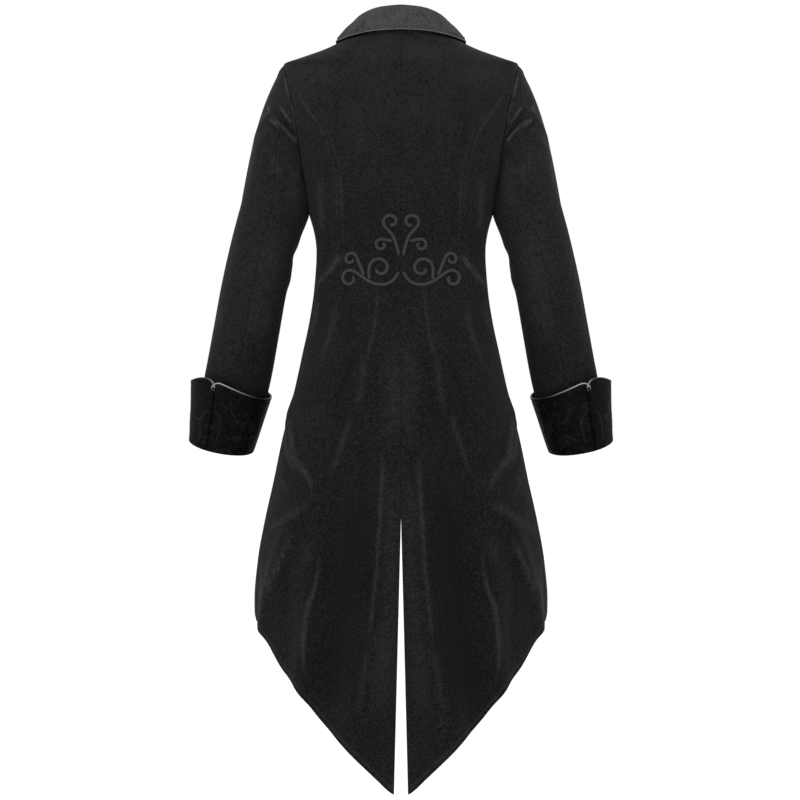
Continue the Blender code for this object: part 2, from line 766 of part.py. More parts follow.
def neck_stations(lines):
    """Stations of the left half of the collar: number, neckline point and the way up from it."""
    back_angles, back_heights = panel(
        lines["centre_back"], lines["princess"], BACK_COLUMNS, 0, 1, yoke_rows=PRINCESS_TOP
    )
    front_angle, front_height = front_angles(lines)
    found = []
    halves = (
        (outer_face(back_angles, back_heights)[0], np.arange(BACK_COLUMNS + 1) / BACK_COLUMNS),
        (
            outer_face(front_angle[:2], front_height[:2])[0][:, ::-1],
            1 + np.arange(1, FRONT_COLUMNS + 1) / FRONT_COLUMNS,
        ),
    )
    for grid, numbers in halves:
        grid = grid[:, -len(numbers):]
        run = unit(np.gradient(grid[0], axis=0))
        up = grid[0] - grid[1]
        up = unit(up - (up * run).sum(axis=-1, keepdims=True) * run)
        found.extend(zip(numbers, grid[0], up))
    kept = [row for row in found if row[1][0] > COLLAR_END_X + 4 or row[0] < 1]
    front = grid[0][::-1]
    end = [np.interp(COLLAR_END_X, front[:, 0], front[:, axis]) for axis in range(3)]
    kept.append((2.0, np.array(end), kept[-1][2]))
    return kept


def collar_profile(number, neck, up):
    """Middle of the collar's cloth at one station: up the stand, over the fold, down to the edge."""
    place = [
        float(smooth(COLLAR_COLUMNS, COLLAR, name, "station", number))
        for name in COLLAR_COLUMNS[1:]
    ]
    fold, edge = np.array(place[:3]), np.array(place[3:])
    outward = unit(np.array((fold[0] / NECK_HALF_WIDTH**2, fold[1] / NECK_HALF_DEPTH**2, 0.0)))
    rise = np.array((0.0, 0.0, 1.0))
    foot = neck + up * SEAM * 2 - outward * COLLAR_CLOTH / 2
    core = fold - rise * COLLAR_ROLL
    inside = core - outward * COLLAR_ROLL
    outside = core + outward * COLLAR_ROLL
    points = [foot, (foot + inside) / 2, inside]
    for degrees in COLLAR_ROLL_TURNS:
        turn = math.radians(degrees)
        rolled = rise * math.sin(turn) - outward * math.cos(turn)
        points.append(core + rolled * COLLAR_ROLL)
    points.append(outside)
    away = unit(outward + rise / 2)
    for share in COLLAR_FALL_SHARES:
        bulge = COLLAR_BULGE * math.sin(math.pi * share)
        points.append(outside + (edge - outside) * share + away * bulge)
    return np.array(points)


def collar_walls(lines):
    """The whole collar, from the left front round the back of the neck to the right front."""
    half = [collar_profile(*station) for station in neck_stations(lines)]
    mirrored = [profile * np.array((-1.0, 1.0, 1.0)) for profile in half[:0:-1]]
    middle = np.array(mirrored + half).transpose(1, 0, 2)
    normals = grid_normals(middle, closed=False)
    return middle + normals * COLLAR_CLOTH / 2, middle - normals * COLLAR_CLOTH / 2


# Cords and buttons, laid on the panels that carry them


def seat_finder(*grids):
    """A search tree over outer faces, in millimetres."""
    points, faces = [], []
    for grid in grids:
        rows, columns = grid.shape[:2]
        start = len(points)
        points.extend(Vector(point) for point in grid.reshape(-1, 3))
        for row in range(rows - 1):
            for column in range(columns - 1):
                a = start + row * columns + column
                faces.append((a, a + 1, a + columns + 1))
                faces.append((a, a + columns + 1, a + columns))
    return BVHTree.FromPolygons(points, faces)


def seat(finder, x, z, from_behind):
    """The place on the cloth straight before or behind this point of the coat's view."""
    far = 400.0 if from_behind else -400.0
    place, normal, _, _ = finder.ray_cast(Vector((x, far, z)), Vector((0, -far, 0)).normalized())
    normal = np.array(normal)
    return np.array(place), normal if normal[1] * far > 0 else -normal


def scroll_path(start_x, start_z, headings):
    """Points along a cord in the view from behind, and their directions."""
    rows = [(float(length), float(heading)) for length, heading in headings]
    count = int(round(rows[-1][0] / CORD_STEP))
    step = rows[-1][0] / count
    middles = (np.arange(count) + 0.5) * step
    turned = np.radians(smooth(("length", "heading"), rows, "heading", "length", middles))
    x = start_x + np.concatenate([[0], np.cumsum(np.cos(turned) * step)])
    z = start_z + np.concatenate([[0], np.cumsum(np.sin(turned) * step)])
    return x, z


def scroll_course(name):
    """Where a cord starts, and its headings by length: its lead and then the shared curl."""
    scroll = dict(zip(SCROLL_COLUMNS, SCROLLS[name]))
    headings = list(scroll["lead"])
    for quarter in CURL_QUARTERS:
        length, heading = headings[-1]
        headings.append((length + quarter * scroll["size"], heading + 90 * scroll["hand"]))
    return scroll["x"], scroll["z"], tuple(headings)


def cord_rings(finder, name, side):
    """Cross sections of a cord, flat where it is sewn on and narrower above."""
    start_x, start_z, headings = scroll_course(name)
    x, z = scroll_path(start_x, start_z, headings)
    run = unit(np.stack([np.gradient(x), np.gradient(z)], axis=-1))
    last = len(x) - 1
    rings = []
    for index in range(len(x)):
        slim = CORD_END_SHARE if index in (0, last) else 1.0
        aside = np.array((-run[index][1], run[index][0])) * CORD_WIDTH * slim / 2
        ring = []
        for sign in (-1, 1):
            beside = (x[index] + sign * aside[0], z[index] + sign * aside[1])
            place, normal = seat(finder, *beside, True)
            ring.append(place + normal * CORD_CLEARANCE)
        middle, normal = seat(finder, x[index], z[index], True)
        top = middle + normal * (CORD_CLEARANCE + CORD_HEIGHT * slim)
        half = (ring[1] - ring[0]) * CORD_TOP_SHARE / 2
        ring = np.array((ring[0], ring[1], top + half, top - half))
        rings.append(ring)
    rings = np.array(rings)
    return rings * np.array((-1.0, 1.0, 1.0)) if side == "right" else rings


# Meshes, objects and materials


def velvet(name, colour, roughness, metallic=0.0, sheen=0.0):
    material = bpy.data.materials.new(name)
    material.use_nodes = True
    shader = material.node_tree.nodes["Principled BSDF"]
    shader.inputs["Base Color"].default_value = (*colour, 1.0)
    shader.inputs["Roughness"].default_value = roughness
    shader.inputs["Metallic"].default_value = metallic
    shader.inputs["Sheen Weight"].default_value = sheen
    material.diffuse_color = (*colour, 1.0)
    return material


def new_object(name, mesh, collection, material):
    mesh.materials.clear()
    mesh.materials.append(material)
    thing = bpy.data.objects.new(name, mesh)
    collection.objects.link(thing)
    return thing


def mesh_of(name, points, faces):
    """A mesh in metres from points in millimetres, with its faces turned to point outwards."""
    mesh = bpy.data.meshes.new(name)
    mesh.from_pydata([tuple(point * MM) for point in points], [], faces)
    work = bmesh.new()
    work.from_mesh(mesh)
    bmesh.ops.recalc_face_normals(work, faces=work.faces)
    work.to_mesh(mesh)
    work.free()
    mesh.shade_smooth()
    mesh.set_sharp_from_angle(angle=math.radians(40))
    return mesh


def wall_faces(rows, columns):
    """Faces of a wall whose outer grid's points come before its inner grid's."""
    inner = rows * columns

    def both(a, b, c):
        faces.append((a, b, c))
        faces.append((a + inner, c + inner, b + inner))

    faces = []
    for row in range(rows - 1):
        for column in range(columns - 1):
            a = row * columns + column
            both(a, a + 1, a + columns + 1)
            both(a, a + columns + 1, a + columns)
    rim = [column for column in range(columns)]
    rim += [row * columns + columns - 1 for row in range(1, rows)]
    rim += [(rows - 1) * columns + column for column in range(columns - 2, -1, -1)]
    rim += [row * columns for row in range(rows - 2, 0, -1)]
    for here, there in zip(rim, rim[1:] + rim[:1]):
        faces.append((here, here + inner, there + inner))
        faces.append((here, there + inner, there))
    return faces


def add_wall(name, walls, collection, material, mirror=False):
    outer, inner = walls
    rows, columns = outer.shape[:2]
    points = np.concatenate([outer.reshape(-1, 3), inner.reshape(-1, 3)])
    if mirror:
        points = points * np.array((-1.0, 1.0, 1.0))
    mesh = mesh_of(name, points, wall_faces(rows, columns))
    return new_object(name, mesh, collection, material)


def add_cord(name, rings, collection, material):
    count, sides = rings.shape[:2]
    faces = [tuple(range(sides)), tuple(range((count - 1) * sides, count * sides))]
    for ring in range(count - 1):
        for corner in range(sides):
            a = ring * sides + corner
            b = ring * sides + (corner + 1) % sides
            faces.append((a, b, b + sides))
            faces.append((a, b + sides, a + sides))
    mesh = mesh_of(name, rings.reshape(-1, 3), faces)
    return new_object(name, mesh, collection, material)


def button_mesh():
    mesh = bpy.data.meshes.new("button")
    points = [(radius * MM, 0.0, height * MM) for radius, height in BUTTON_PROFILE]
    mesh.from_pydata(points, [(index, index + 1) for index in range(len(points) - 1)], [])
    return mesh


def add_buttons(finder, collection, material):
    """Buttons down the lapped edge, each turned about the cloth's normal."""
    mesh = button_mesh()
    for number, height in enumerate(BUTTON_HEIGHTS, start=1):
        place, normal = seat(finder, 0.0, height, False)
        button = new_object(f"button_{number}", mesh, collection, material)
        button.location = (place + normal * BUTTON_CLEARANCE) * MM
        button.rotation_mode = "QUATERNION"
        button.rotation_quaternion = Vector(normal).to_track_quat("Z", "Y")
        turn = button.modifiers.new("turned", "SCREW")
        turn.steps = BUTTON_STEPS
        turn.render_steps = BUTTON_STEPS
        turn.use_merge_vertices = True
        turn.merge_threshold = 0.00001


def clear_scene():
    for thing in list(bpy.data.objects):
        bpy.data.objects.remove(thing, do_unlink=True)


def build():
    clear_scene()
    coat = bpy.data.collections.new(COAT)
    bpy.context.scene.collection.children.link(coat)
    black = velvet("black_velvet", (0.012, 0.012, 0.013), 0.85, sheen=0.4)
    crushed = velvet("crushed_velvet", (0.008, 0.008, 0.010), 0.5, sheen=0.5)
    grey = velvet("collar_velvet", (0.03, 0.03, 0.032), 0.8, sheen=0.5)
    braid = velvet("soutache", (0.03, 0.03, 0.032), 0.55)
    metal = velvet("button_metal", (0.05, 0.05, 0.055), 0.35, metallic=0.8)
    lines = seams()
    back, side_back, side_skirt = back_face(lines), side_back_face(lines), side_skirt_face(lines)
    cloth_behind = seat_finder(back[0], side_back[0], side_skirt[0])
    back = walled(*back, ("near", "far", "top"))
    side_back = walled(*side_back, ("near", "far", "foot"))
    side_skirt = walled(*side_skirt, ("near", "far", "top"))
    fronts = {"left": front_walls(lines, False), "right": front_walls(lines, True)}
    upper_count = RING - (SLEEVE_SEAM_FRONT - SLEEVE_SEAM_BACK)
    upper = sleeve_walls(lines, SLEEVE_SEAM_FRONT, upper_count)
    under = sleeve_walls(lines, SLEEVE_SEAM_BACK, RING - upper_count)
    cuff = cuff_walls()
    for side in ("left", "right"):
        mirror = side == "right"
        add_wall(f"back_{side}", back, coat, black, mirror)
        add_wall(f"side_back_{side}", side_back, coat, black, mirror)
        add_wall(f"side_skirt_{side}", side_skirt, coat, black, mirror)
        add_wall(f"front_{side}", fronts[side], coat, black, mirror)
        add_wall(f"sleeve_upper_{side}", upper, coat, black, mirror)
        add_wall(f"sleeve_under_{side}", under, coat, black, mirror)
        add_wall(f"cuff_{side}", cuff, coat, crushed, mirror)
        for name in SCROLLS:
            add_cord(f"scroll_{name}_{side}", cord_rings(cloth_behind, name, side), coat, braid)
    add_wall("collar", collar_walls(lines), coat, grey)
    lapped = fronts["right"][0] * np.array((-1.0, 1.0, 1.0))
    add_buttons(seat_finder(lapped), coat, metal)


build()
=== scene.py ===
"""Studio picture of a black velvet swallow-tail coat, seen straight from behind.

Every piece of cloth is a thin shell on the form of its solid, from the same sections and seams at
a finer step, with its creases, pressed seams, piping and braid. Tables are in millimetres.
"""

import json
import math

import bmesh
import bpy
import numpy as np
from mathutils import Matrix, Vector
from mathutils.bvhtree import BVHTree

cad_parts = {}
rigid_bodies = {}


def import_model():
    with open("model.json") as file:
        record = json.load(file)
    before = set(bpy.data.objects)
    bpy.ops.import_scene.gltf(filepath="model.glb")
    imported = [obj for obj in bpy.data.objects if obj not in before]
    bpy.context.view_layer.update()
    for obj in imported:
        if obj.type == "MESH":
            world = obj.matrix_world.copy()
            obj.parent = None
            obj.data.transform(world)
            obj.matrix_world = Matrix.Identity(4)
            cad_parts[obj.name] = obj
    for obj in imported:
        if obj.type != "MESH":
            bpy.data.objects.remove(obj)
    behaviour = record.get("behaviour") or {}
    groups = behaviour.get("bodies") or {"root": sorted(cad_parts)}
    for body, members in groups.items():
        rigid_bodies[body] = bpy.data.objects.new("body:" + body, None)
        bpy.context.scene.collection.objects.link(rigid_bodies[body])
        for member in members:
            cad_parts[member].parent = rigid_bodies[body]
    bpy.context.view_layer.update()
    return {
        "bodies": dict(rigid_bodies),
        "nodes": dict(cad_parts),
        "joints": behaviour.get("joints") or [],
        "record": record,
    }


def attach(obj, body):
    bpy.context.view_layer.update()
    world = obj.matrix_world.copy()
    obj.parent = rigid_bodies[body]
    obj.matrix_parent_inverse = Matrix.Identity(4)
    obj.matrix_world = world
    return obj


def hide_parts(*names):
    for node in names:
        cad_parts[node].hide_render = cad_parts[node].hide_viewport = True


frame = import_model()

MM = 0.001
CLOTH = 2.5
TURNED_CLOTH = 3.0
COLLAR_CLOTH = 2.6
SEAM = 0.3

# Horizontal sections of the body: half width, depth behind and before the sleeves' line, and
# the squareness of the oval, where 2 is an ellipse.
SECTION_COLUMNS = ("height", "half_width", "back", "front", "squareness")
SECTIONS = (
    (40.0, 75.0, 57.0, 26.0, 2.4),
    (18.0, 75.0, 60.0, 26.0, 2.4),
    (0.0, 75.0, 65.0, 28.0, 2.4),
    (-2.0, 83.0, 65.6, 32.0, 2.4),
    (-8.0, 98.0, 67.2, 37.5, 2.4),
    (-14.0, 110.0, 69.0, 41.5, 2.4),
    (-21.0, 126.0, 71.4, 46.5, 2.4),
    (-29.0, 148.5, 74.4, 52.7, 2.4),
    (-35.6, 168.0, 77.0, 57.0, 2.4),
    (-43.0, 187.0, 80.0, 61.0, 2.4),
    (-80.0, 187.0, 91.0, 76.0, 2.4),
    (-120.0, 182.0, 100.0, 95.0, 2.4),
    (-160.0, 174.0, 105.0, 116.0, 2.4),
    (-200.0, 164.0, 104.0, 126.0, 2.4),
    (-239.0, 154.0, 100.0, 122.0, 2.3),
    (-280.0, 145.0, 93.0, 108.0, 2.3),
    (-343.0, 135.0, 84.0, 98.0, 2.2),
    (-403.0, 139.0, 92.0, 107.0, 2.2),
    (-451.0, 146.0, 106.0, 118.0, 2.2),
    (-515.0, 160.0, 123.0, 129.0, 2.2),
    (-579.0, 175.0, 137.0, 137.0, 2.2),
    (-643.0, 191.2, 145.0, 145.0, 2.15),
    (-707.0, 204.3, 149.0, 151.0, 2.15),
    (-771.0, 218.4, 153.0, 155.0, 2.15),
    (-835.0, 229.6, 156.0, 159.0, 2.15),
    (-899.0, 234.8, 158.0, 161.0, 2.15),
    (-960.0, 233.0, 159.0, 161.0, 2.15),
    (-1210.0, 230.0, 160.0, 161.0, 2.15),
)

# Heights at which the rows of the panels meet each seam, from the neckline to the waist.
# The side line is the shoulder seam in rows 0 to 3, the armhole in rows 3 to 11 and the side
# seam below. The princess seam leaves the armhole at row 5.
ROW_COLUMNS = ("row", "centre_back", "princess", "side", "centre_front")
ROWS = (
    (0, 18.0, 0.0, 0.0, -77.0),
    (1, 4.0, -8.0, -8.0, -84.0),
    (2, -14.0, -24.0, -24.0, -91.0),
    (3, -37.0, -43.0, -43.0, -99.0),
    (4, -59.0, -60.0, -60.0, -108.0),
    (5, -80.0, -80.0, -80.0, -119.0),
    (6, -104.0, -104.0, -101.0, -132.0),
    (7, -131.0, -131.0, -124.0, -148.0),
    (8, -158.0, -158.0, -150.0, -167.0),
    (9, -186.0, -186.0, -180.0, -191.0),
    (10, -213.0, -213.0, -213.0, -218.0),
    (11, -241.0, -241.0, -246.0, -250.0),
    (12, -270.0, -270.0, -292.0, -293.0),
    (13, -301.0, -301.0, -343.0, -343.0),
    (14, -333.0, -333.0, -405.0, -400.0),
)
# How many rows and columns the cloth has here for each one of the solids.
FINER = 10
SHOULDER_TIP = 3 * FINER
PRINCESS_TOP = 5 * FINER
ARMPIT = 11 * FINER
WAIST_SEAM = 14 * FINER
SKIRT_ROWS = 220

# Armhole seen from the side: how far its back and front edges stand from the sleeves' line.
ARMHOLE_COLUMNS = ("height", "back", "front")
ARMHOLE = (
    (-43.0, 0.0, 0.0),
    (-60.0, 23.0, 24.0),
    (-80.0, 33.0, 35.0),
    (-101.0, 42.0, 44.0),
    (-124.0, 47.0, 50.0),
    (-150.0, 46.5, 53.0),
    (-180.0, 42.0, 51.0),
    (-213.0, 30.0, 37.0),
    (-246.0, 0.0, 0.0),
)

PRINCESS_COLUMNS = ("height", "x")
PRINCESS = (
    (-80.0, 177.0),
    (-104.0, 153.0),
    (-131.0, 134.0),
    (-170.0, 113.5),
    (-223.0, 100.5),
    (-270.0, 96.5),
    (-333.0, 96.3),
    (-430.0, 103.0),
    (-519.0, 107.0),
    (-642.0, 119.0),
    (-795.0, 130.0),
    (-878.0, 138.0),
    (-973.0, 150.0),
    (-1100.0, 150.0),
)

SIDE_SEAM_COLUMNS = ("height", "angle")
SIDE_SEAM = ((-246.0, 90.0), (-292.0, 87.0), (-343.0, 82.0), (-405.0, 80.0), (-1000.0, 76.0))

HEM_COLUMNS = ("angle", "height")
HEM = (
    (0.0, -1194.5),
    (3.0, -1188.6),
    (8.0, -1169.2),
    (14.0, -1145.3),
    (20.0, -1121.0),
    (26.0, -1100.1),
    (32.0, -1077.3),
    (38.0, -1049.4),
    (45.0, -1022.0),
    (52.0, -1001.9),
    (59.0, -977.0),
    (66.0, -951.0),
    (73.0, -936.5),
    (80.0, -926.5),
    (90.0, -909.0),
    (105.0, -868.0),
    (122.0, -803.0),
    (140.0, -728.0),
    (158.0, -650.0),
    (172.0, -588.0),
    (186.0, -560.0),
)

# Where the search for a seam's foot on the hem starts
HEM_SEARCH_START = -900.0

# The centre back is open below the vent's top, and each tail's edge moves out towards its tip.
VENT_TOP = -751.0
VENT_FOOT = -1192.0
VENT_HALF_WIDTH = 11.2

# The right front laps over the left: half the lap, how far it is lifted, and where it settles.
LAP = 18.0
LAP_LIFT = 3.6
LAP_FLAT_TO = 24.0
LAP_SETTLED = 52.0

# The largest folds, as soft ridges, or troughs where the lift is below zero. Each runs from one
# place to another, rises over its run in and keeps its lift below the second place.
FOLD_COLUMNS = ("angle", "height", "to_angle", "to_height", "width", "lift", "run_in", "run_out")
FOLDS = (
    (13.0, -400.0, 21.0, -620.0, 15.0, 4.0, 60.0, 90.0),
    (6.5, -640.0, 19.5, -1120.0, 22.0, 9.0, 110.0, 0.0),
    (27.0, -640.0, 28.0, -1120.0, 26.0, -8.0, 160.0, 0.0),
    (34.0, -800.0, 42.0, -1060.0, 18.0, 9.0, 90.0, 0.0),
    (50.0, -770.0, 70.0, -960.0, 22.0, 8.0, 90.0, 0.0),
    (52.0, -690.0, 82.0, -590.0, 16.0, 5.0, 60.0, 60.0),
    (98.0, -560.0, 100.0, -900.0, 26.0, -8.0, 150.0, 0.0),
    (116.0, -520.0, 118.0, -860.0, 24.0, 8.0, 140.0, 0.0),
    (136.0, -500.0, 136.0, -760.0, 22.0, -6.0, 120.0, 0.0),
    (152.0, -460.0, 152.0, -680.0, 20.0, 6.0, 110.0, 0.0),
)

# Left sleeve below the armhole: its axis and its two half widths, across and fore and aft.
SLEEVE_COLUMNS = ("height", "x", "y", "across", "deep")
SLEEVE = (
    (-276.0, 203.5, 1.0, 53.2, 57.0),
    (-307.0, 212.0, 2.0, 53.2, 56.0),
    (-339.0, 220.5, 2.0, 52.9, 54.0),
    (-403.0, 235.5, -2.0, 52.5, 50.0),
    (-467.0, 247.5, -10.0, 52.8, 47.0),
    (-531.0, 260.0, -27.0, 53.2, 45.0),
    (-600.0, 276.0, -46.0, 51.5, 43.5),
    (-651.0, 290.5, -60.0, 50.0, 43.0),
)
# The rings lie nearer level across the arm than square to it, by this share of its lean.
RING_LEAN = 0.65
# The cap's rows, as shares of the way from the armhole to the first ring, closest at the armhole
CAP_ROW_COUNT = 60
CAP_ROW_CROWDING = 1.35
SLEEVE_CAP_ROWS = tuple((row / CAP_ROW_COUNT) ** CAP_ROW_CROWDING for row in range(CAP_ROW_COUNT))
SLEEVE_RINGS = 120
RING = 16 * FINER
CAP_SIDE = np.array((0.82, 0.0, -0.57))
CAP_TOP = np.array((0.54, 0.0, -0.84))
CAP_FOOT = np.array((-0.06, 0.0, -1.0))
SLEEVE_RADIUS = 52.0
SLEEVE_SLOPE_REACH = 12.0
SLEEVE_SEAM_BACK = 4 * FINER
SLEEVE_SEAM_FRONT = 10 * FINER

# Soft breaks of the cloth on the sleeve: place down it as a height, direction round it from
# the outer side towards the back, half lengths both ways and the lift.
SLEEVE_FOLD_COLUMNS = ("height", "around", "tall", "wide", "slant", "lift")
SLEEVE_FOLDS = (
    (-128.0, 45.0, 12.0, 34.0, 0.75, 3.0),
    (-160.0, 62.0, 12.0, 30.0, 0.7, 2.5),
    (-350.0, 180.0, 12.0, 60.0, 0.0, -3.0),
    (-385.0, 200.0, 12.0, 50.0, 0.2, 2.0),
    (-430.0, 110.0, 22.0, 40.0, 0.4, -2.0),
)

# The turned-back cuff. Its wall starts under the sleeve's end, turns round it and flares up.
# The fold's rows are how far up the sleeve the cuff's middle is and how far off it stands. The
# flare's are the share of the cuff's height, and how far off on the arm's outer and inner side.
CUFF_FOLD = ((-2.1, -2.4), (-2.1, -0.2), (-1.5, 1.5), (0.0, 2.15))
CUFF_FLARE = (
    (0.12, 3.2, 4.0),
    (0.4, 6.4, 7.6),
    (0.7, 10.4, 11.4),
    (1.0, 15.0, 15.5),
)
CUFF_HEIGHT = 92.0
CUFF_RISE = 25.0
CUFF_RISE_AT = 58.0
CUFF_RISE_REACH = {"outer": 42.0, "inner": 66.0}
CUFF_SLIT = 67.5
CUFF_SLIT_FOOT = 0.5
CUFF_SLIT_TOP = 1.8
CUFF_CORNER = 9.0
CUFF_CORNER_COLUMNS = np.array((0.0, 0.6, 1.2, 1.8))

# The collar at stations round the neck: 0 is the centre back, 1 the shoulder seam and 2 the
# centre front. The fold is its top line and the edge its outer one.
COLLAR_COLUMNS = ("station", "fold_x", "fold_y", "fold_z", "edge_x", "edge_y", "edge_z")
COLLAR = (
    (0.0, 0.0, 57.0, 45.5, 0.0, 67.5, 7.4),
    (0.35, 34.0, 51.0, 43.0, 42.0, 61.5, 5.6),
    (0.7, 61.0, 31.0, 34.0, 81.0, 39.5, -1.6),
    (0.87, 69.0, 14.0, 29.5, 94.5, 20.0, -5.6),
    (1.0, 73.0, 0.0, 25.8, 102.0, 2.0, -7.0),
    (1.15, 73.0, -27.0, 12.0, 103.5, -28.0, -17.0),
    (1.3, 66.0, -48.0, -8.0, 101.0, -56.0, -35.0),
    (1.6, 43.0, -70.0, -40.0, 89.0, -84.0, -79.0),
    (1.8, 22.0, -79.0, -52.0, 73.0, -94.0, -100.0),
    (2.0, 2.0, -82.0, -58.0, 53.0, -99.0, -113.0),
)
COLLAR_ROLL = 2.7
COLLAR_ROLL_TURNS = (60, 120)
COLLAR_FALL_SHARES = (0.35, 0.7, 1.0)
COLLAR_BULGE = 3.5
COLLAR_END_X = 2.0
COLLAR_END_CLEAR = 4.0
# The neck as an oval, which gives the way out from it at any place.
NECK_HALF_WIDTH = 75.0
NECK_HALF_DEPTH = 68.0

# Scroll cords on the back waist. Each starts at a place in the view from behind, follows its
# lead, as lengths and headings in degrees from the wearer's left towards up, and ends in the one
# curl that they all share. The curl turns a quarter over each of its lengths, times the cord's
# size, to the left where its hand is 1 and to the right where it is -1.
CORD_WIDTH = 4.6
CORD_HEIGHT = 2.2
CORD_STEP = 1.05
CURL_QUARTERS = (20.0, 16.0, 12.0, 9.0)
SCROLL_COLUMNS = ("x", "z", "lead", "size", "hand")
SCROLLS = {
    "crown": (3.5, -350.0, ((0, 76), (20, 72), (45, 45)), 1.0, 1),
    "brow": (19.0, -328.0, ((0, 10), (8, 10)), 0.75, -1),
    "sweep": (4.5, -380.0, ((0, -60), (34, 0), (62, 35), (78, 35)), 1.1, -1),
    "wheel": (50.0, -384.0, ((0, 85), (10, 95)), 1.3, 1),
    "hook": (60.0, -378.0, ((0, 68), (24, 68)), 0.8, -1),
}

BUTTON_HEIGHTS = (-122.0, -197.0, -272.0, -347.0, -422.0)
BUTTON_CLEARANCE = 0.55
# How far behind or before the coat the search for a place on its cloth starts
SEAT_FROM = 400.0

BACK_COLUMNS = 64
SIDE_COLUMNS = 36
FRONT_COLUMNS = 72
TIP_SHARE = 0.06
EDGE_CROWDING = 0.7


def smooth(columns, rows, wanted, along, at):
    """A table's wanted column at the given places, on a smooth curve that never overshoots."""
    table = np.array(sorted(rows, key=lambda row: row[columns.index(along)]), dtype=float)
    key = table[:, columns.index(along)]
    value = table[:, columns.index(wanted)]
    step = np.diff(key)
    secant = np.diff(value) / step
    slope = np.zeros(len(key))
    slope[0], slope[-1] = secant[0], secant[-1]
    before, after = secant[:-1], secant[1:]
    same_way = before * after > 0
    mean = np.where(same_way, 2 * before * after / np.where(same_way, before + after, 1), 0)
    slope[1:-1] = mean
    at = np.clip(np.asarray(at, dtype=float), key[0], key[-1])
    place = np.clip(np.searchsorted(key, at, side="right") - 1, 0, len(key) - 2)
    u = (at - key[place]) / step[place]
    start = value[place] * (1 + 2 * u) * (1 - u) ** 2 + value[place + 1] * u**2 * (3 - 2 * u)
    bend = slope[place] * u * (1 - u) ** 2 + slope[place + 1] * u**2 * (u - 1)
    return start + step[place] * bend


def ease(value, start, end):
    """0 at the start, 1 at the end, and level at both."""
    share = np.clip((np.asarray(value, dtype=float) - start) / (end - start), 0, 1)
    return share * share * (3 - 2 * share)


def hump(value, at, width):
    """A soft hump: 1 at its middle, and almost nothing two widths away."""
    return np.exp(-(((value - at) / width) ** 2))


def ridge(away, row):
    """A soft ridge by the distance from an edge, from its place, width and height."""
    at, width, height = row
    return height * hump(away, at, width)


def unit(vectors):
    return vectors / np.linalg.norm(vectors, axis=-1, keepdims=True)


def signed_power(base, exponent):
    return np.sign(base) * np.abs(base) ** exponent


# The body's surface


def section(height):
    return [
        smooth(SECTION_COLUMNS, SECTIONS, name, "height", height)
        for name in ("half_width", "back", "front", "squareness")
    ]


def body_point(angle, height):
    half_width, back, front, squareness = section(height)
    turn = np.radians(angle)
    depth = np.where(np.cos(turn) >= 0, back, front)
    x = half_width * signed_power(np.sin(turn), 2 / squareness)
    y = depth * signed_power(np.cos(turn), 2 / squareness)
    return np.stack([x, y, np.asarray(height, dtype=float) + 0 * x], axis=-1)


def fullness(x, y, height):
    """Under 1 inside the body's section at this height, and over 1 outside it."""
    half_width, back, front, squareness = section(height)
    depth = np.where(y >= 0, back, front)
    return np.abs(x / half_width) ** squareness + np.abs(y / depth) ** squareness


def body_normal(points, reach=0.5):
    x, y, z = points[..., 0], points[..., 1], points[..., 2]
    gradient = [
        fullness(x + reach, y, z) - fullness(x - reach, y, z),
        fullness(x, y + reach, z) - fullness(x, y - reach, z),
        fullness(x, y, z + reach) - fullness(x, y, z - reach),
    ]
    return unit(np.stack(gradient, axis=-1))


def fold_relief(angle, height):
    half_width, back, front, _ = section(height)
    radius = np.sqrt((half_width**2 + np.where(angle < 90, back, front) ** 2) / 2)
    relief = np.zeros_like(radius)
    for row in FOLDS:
        fold = dict(zip(FOLD_COLUMNS, row))
        share = (height - fold["height"]) / (fold["to_height"] - fold["height"])
        middle = fold["angle"] + share * (fold["to_angle"] - fold["angle"])
        across = np.radians(angle - middle) * radius / fold["width"]
        down = fold["height"] - height
        if fold["to_height"] > fold["height"]:
            down = height - fold["height"]
        length = abs(fold["to_height"] - fold["height"])
        along = ease(down, -fold["run_in"] / 2, fold["run_in"] / 2)
        if fold["run_out"]:
            along = along * ease(down, length + fold["run_out"] / 2, length - fold["run_out"] / 2)
        relief += fold["lift"] * along * np.exp(-(across**2))
    return relief


def outer_face(angle, height):
    """Points of the coat's outer face with its large folds, and the smooth body's normals."""
    points = body_point(angle, height)
    normals = body_normal(points)
    return points + normals * fold_relief(angle, height)[..., None], normals


def angle_at_x(x, height):
    """The angle, from the centre back, of the place this far to the side of the middle."""
    half_width, _, _, squareness = section(height)
    sine = signed_power(np.clip(x / half_width, -1, 1), squareness / 2)
    return np.degrees(np.arcsin(sine))


def angle_at_depth(y, height, side):
    """The angle of the place this far behind or before the sleeves' line."""
    _, back, front, squareness = section(height)
    depth = back if side == "back" else front
    angle = np.degrees(np.arccos(np.clip(y / depth, 0, 1) ** (squareness / 2)))
    return angle if side == "back" else 180 - angle


# The seams, each a list of angles and heights, one for each row from neckline to hem


def row_heights(name):
    rows = np.arange(WAIST_SEAM + 1) / FINER
    last = np.clip(rows - rows[-1] + 1, 0, 1)
    rows = rows + EDGE_CROWDING * np.sin(np.pi * last) / np.pi
    return smooth(ROW_COLUMNS, ROWS, name, "row", rows)


def shares(columns):
    """Places of a panel's columns from 0 to 1, closer together beside its two edges."""
    even = np.arange(columns + 1) / columns
    return even - EDGE_CROWDING * np.sin(2 * np.pi * even) / (2 * np.pi)


def armhole_angle(height, side):
    reach = smooth(ARMHOLE_COLUMNS, ARMHOLE, side, "height", height)
    return angle_at_depth(reach, height, side)


def princess_angle(height):
    return angle_at_x(smooth(PRINCESS_COLUMNS, PRINCESS, "x", "height", height), height)


def side_seam_angle(height):
    return smooth(SIDE_SEAM_COLUMNS, SIDE_SEAM, "angle", "height", height)


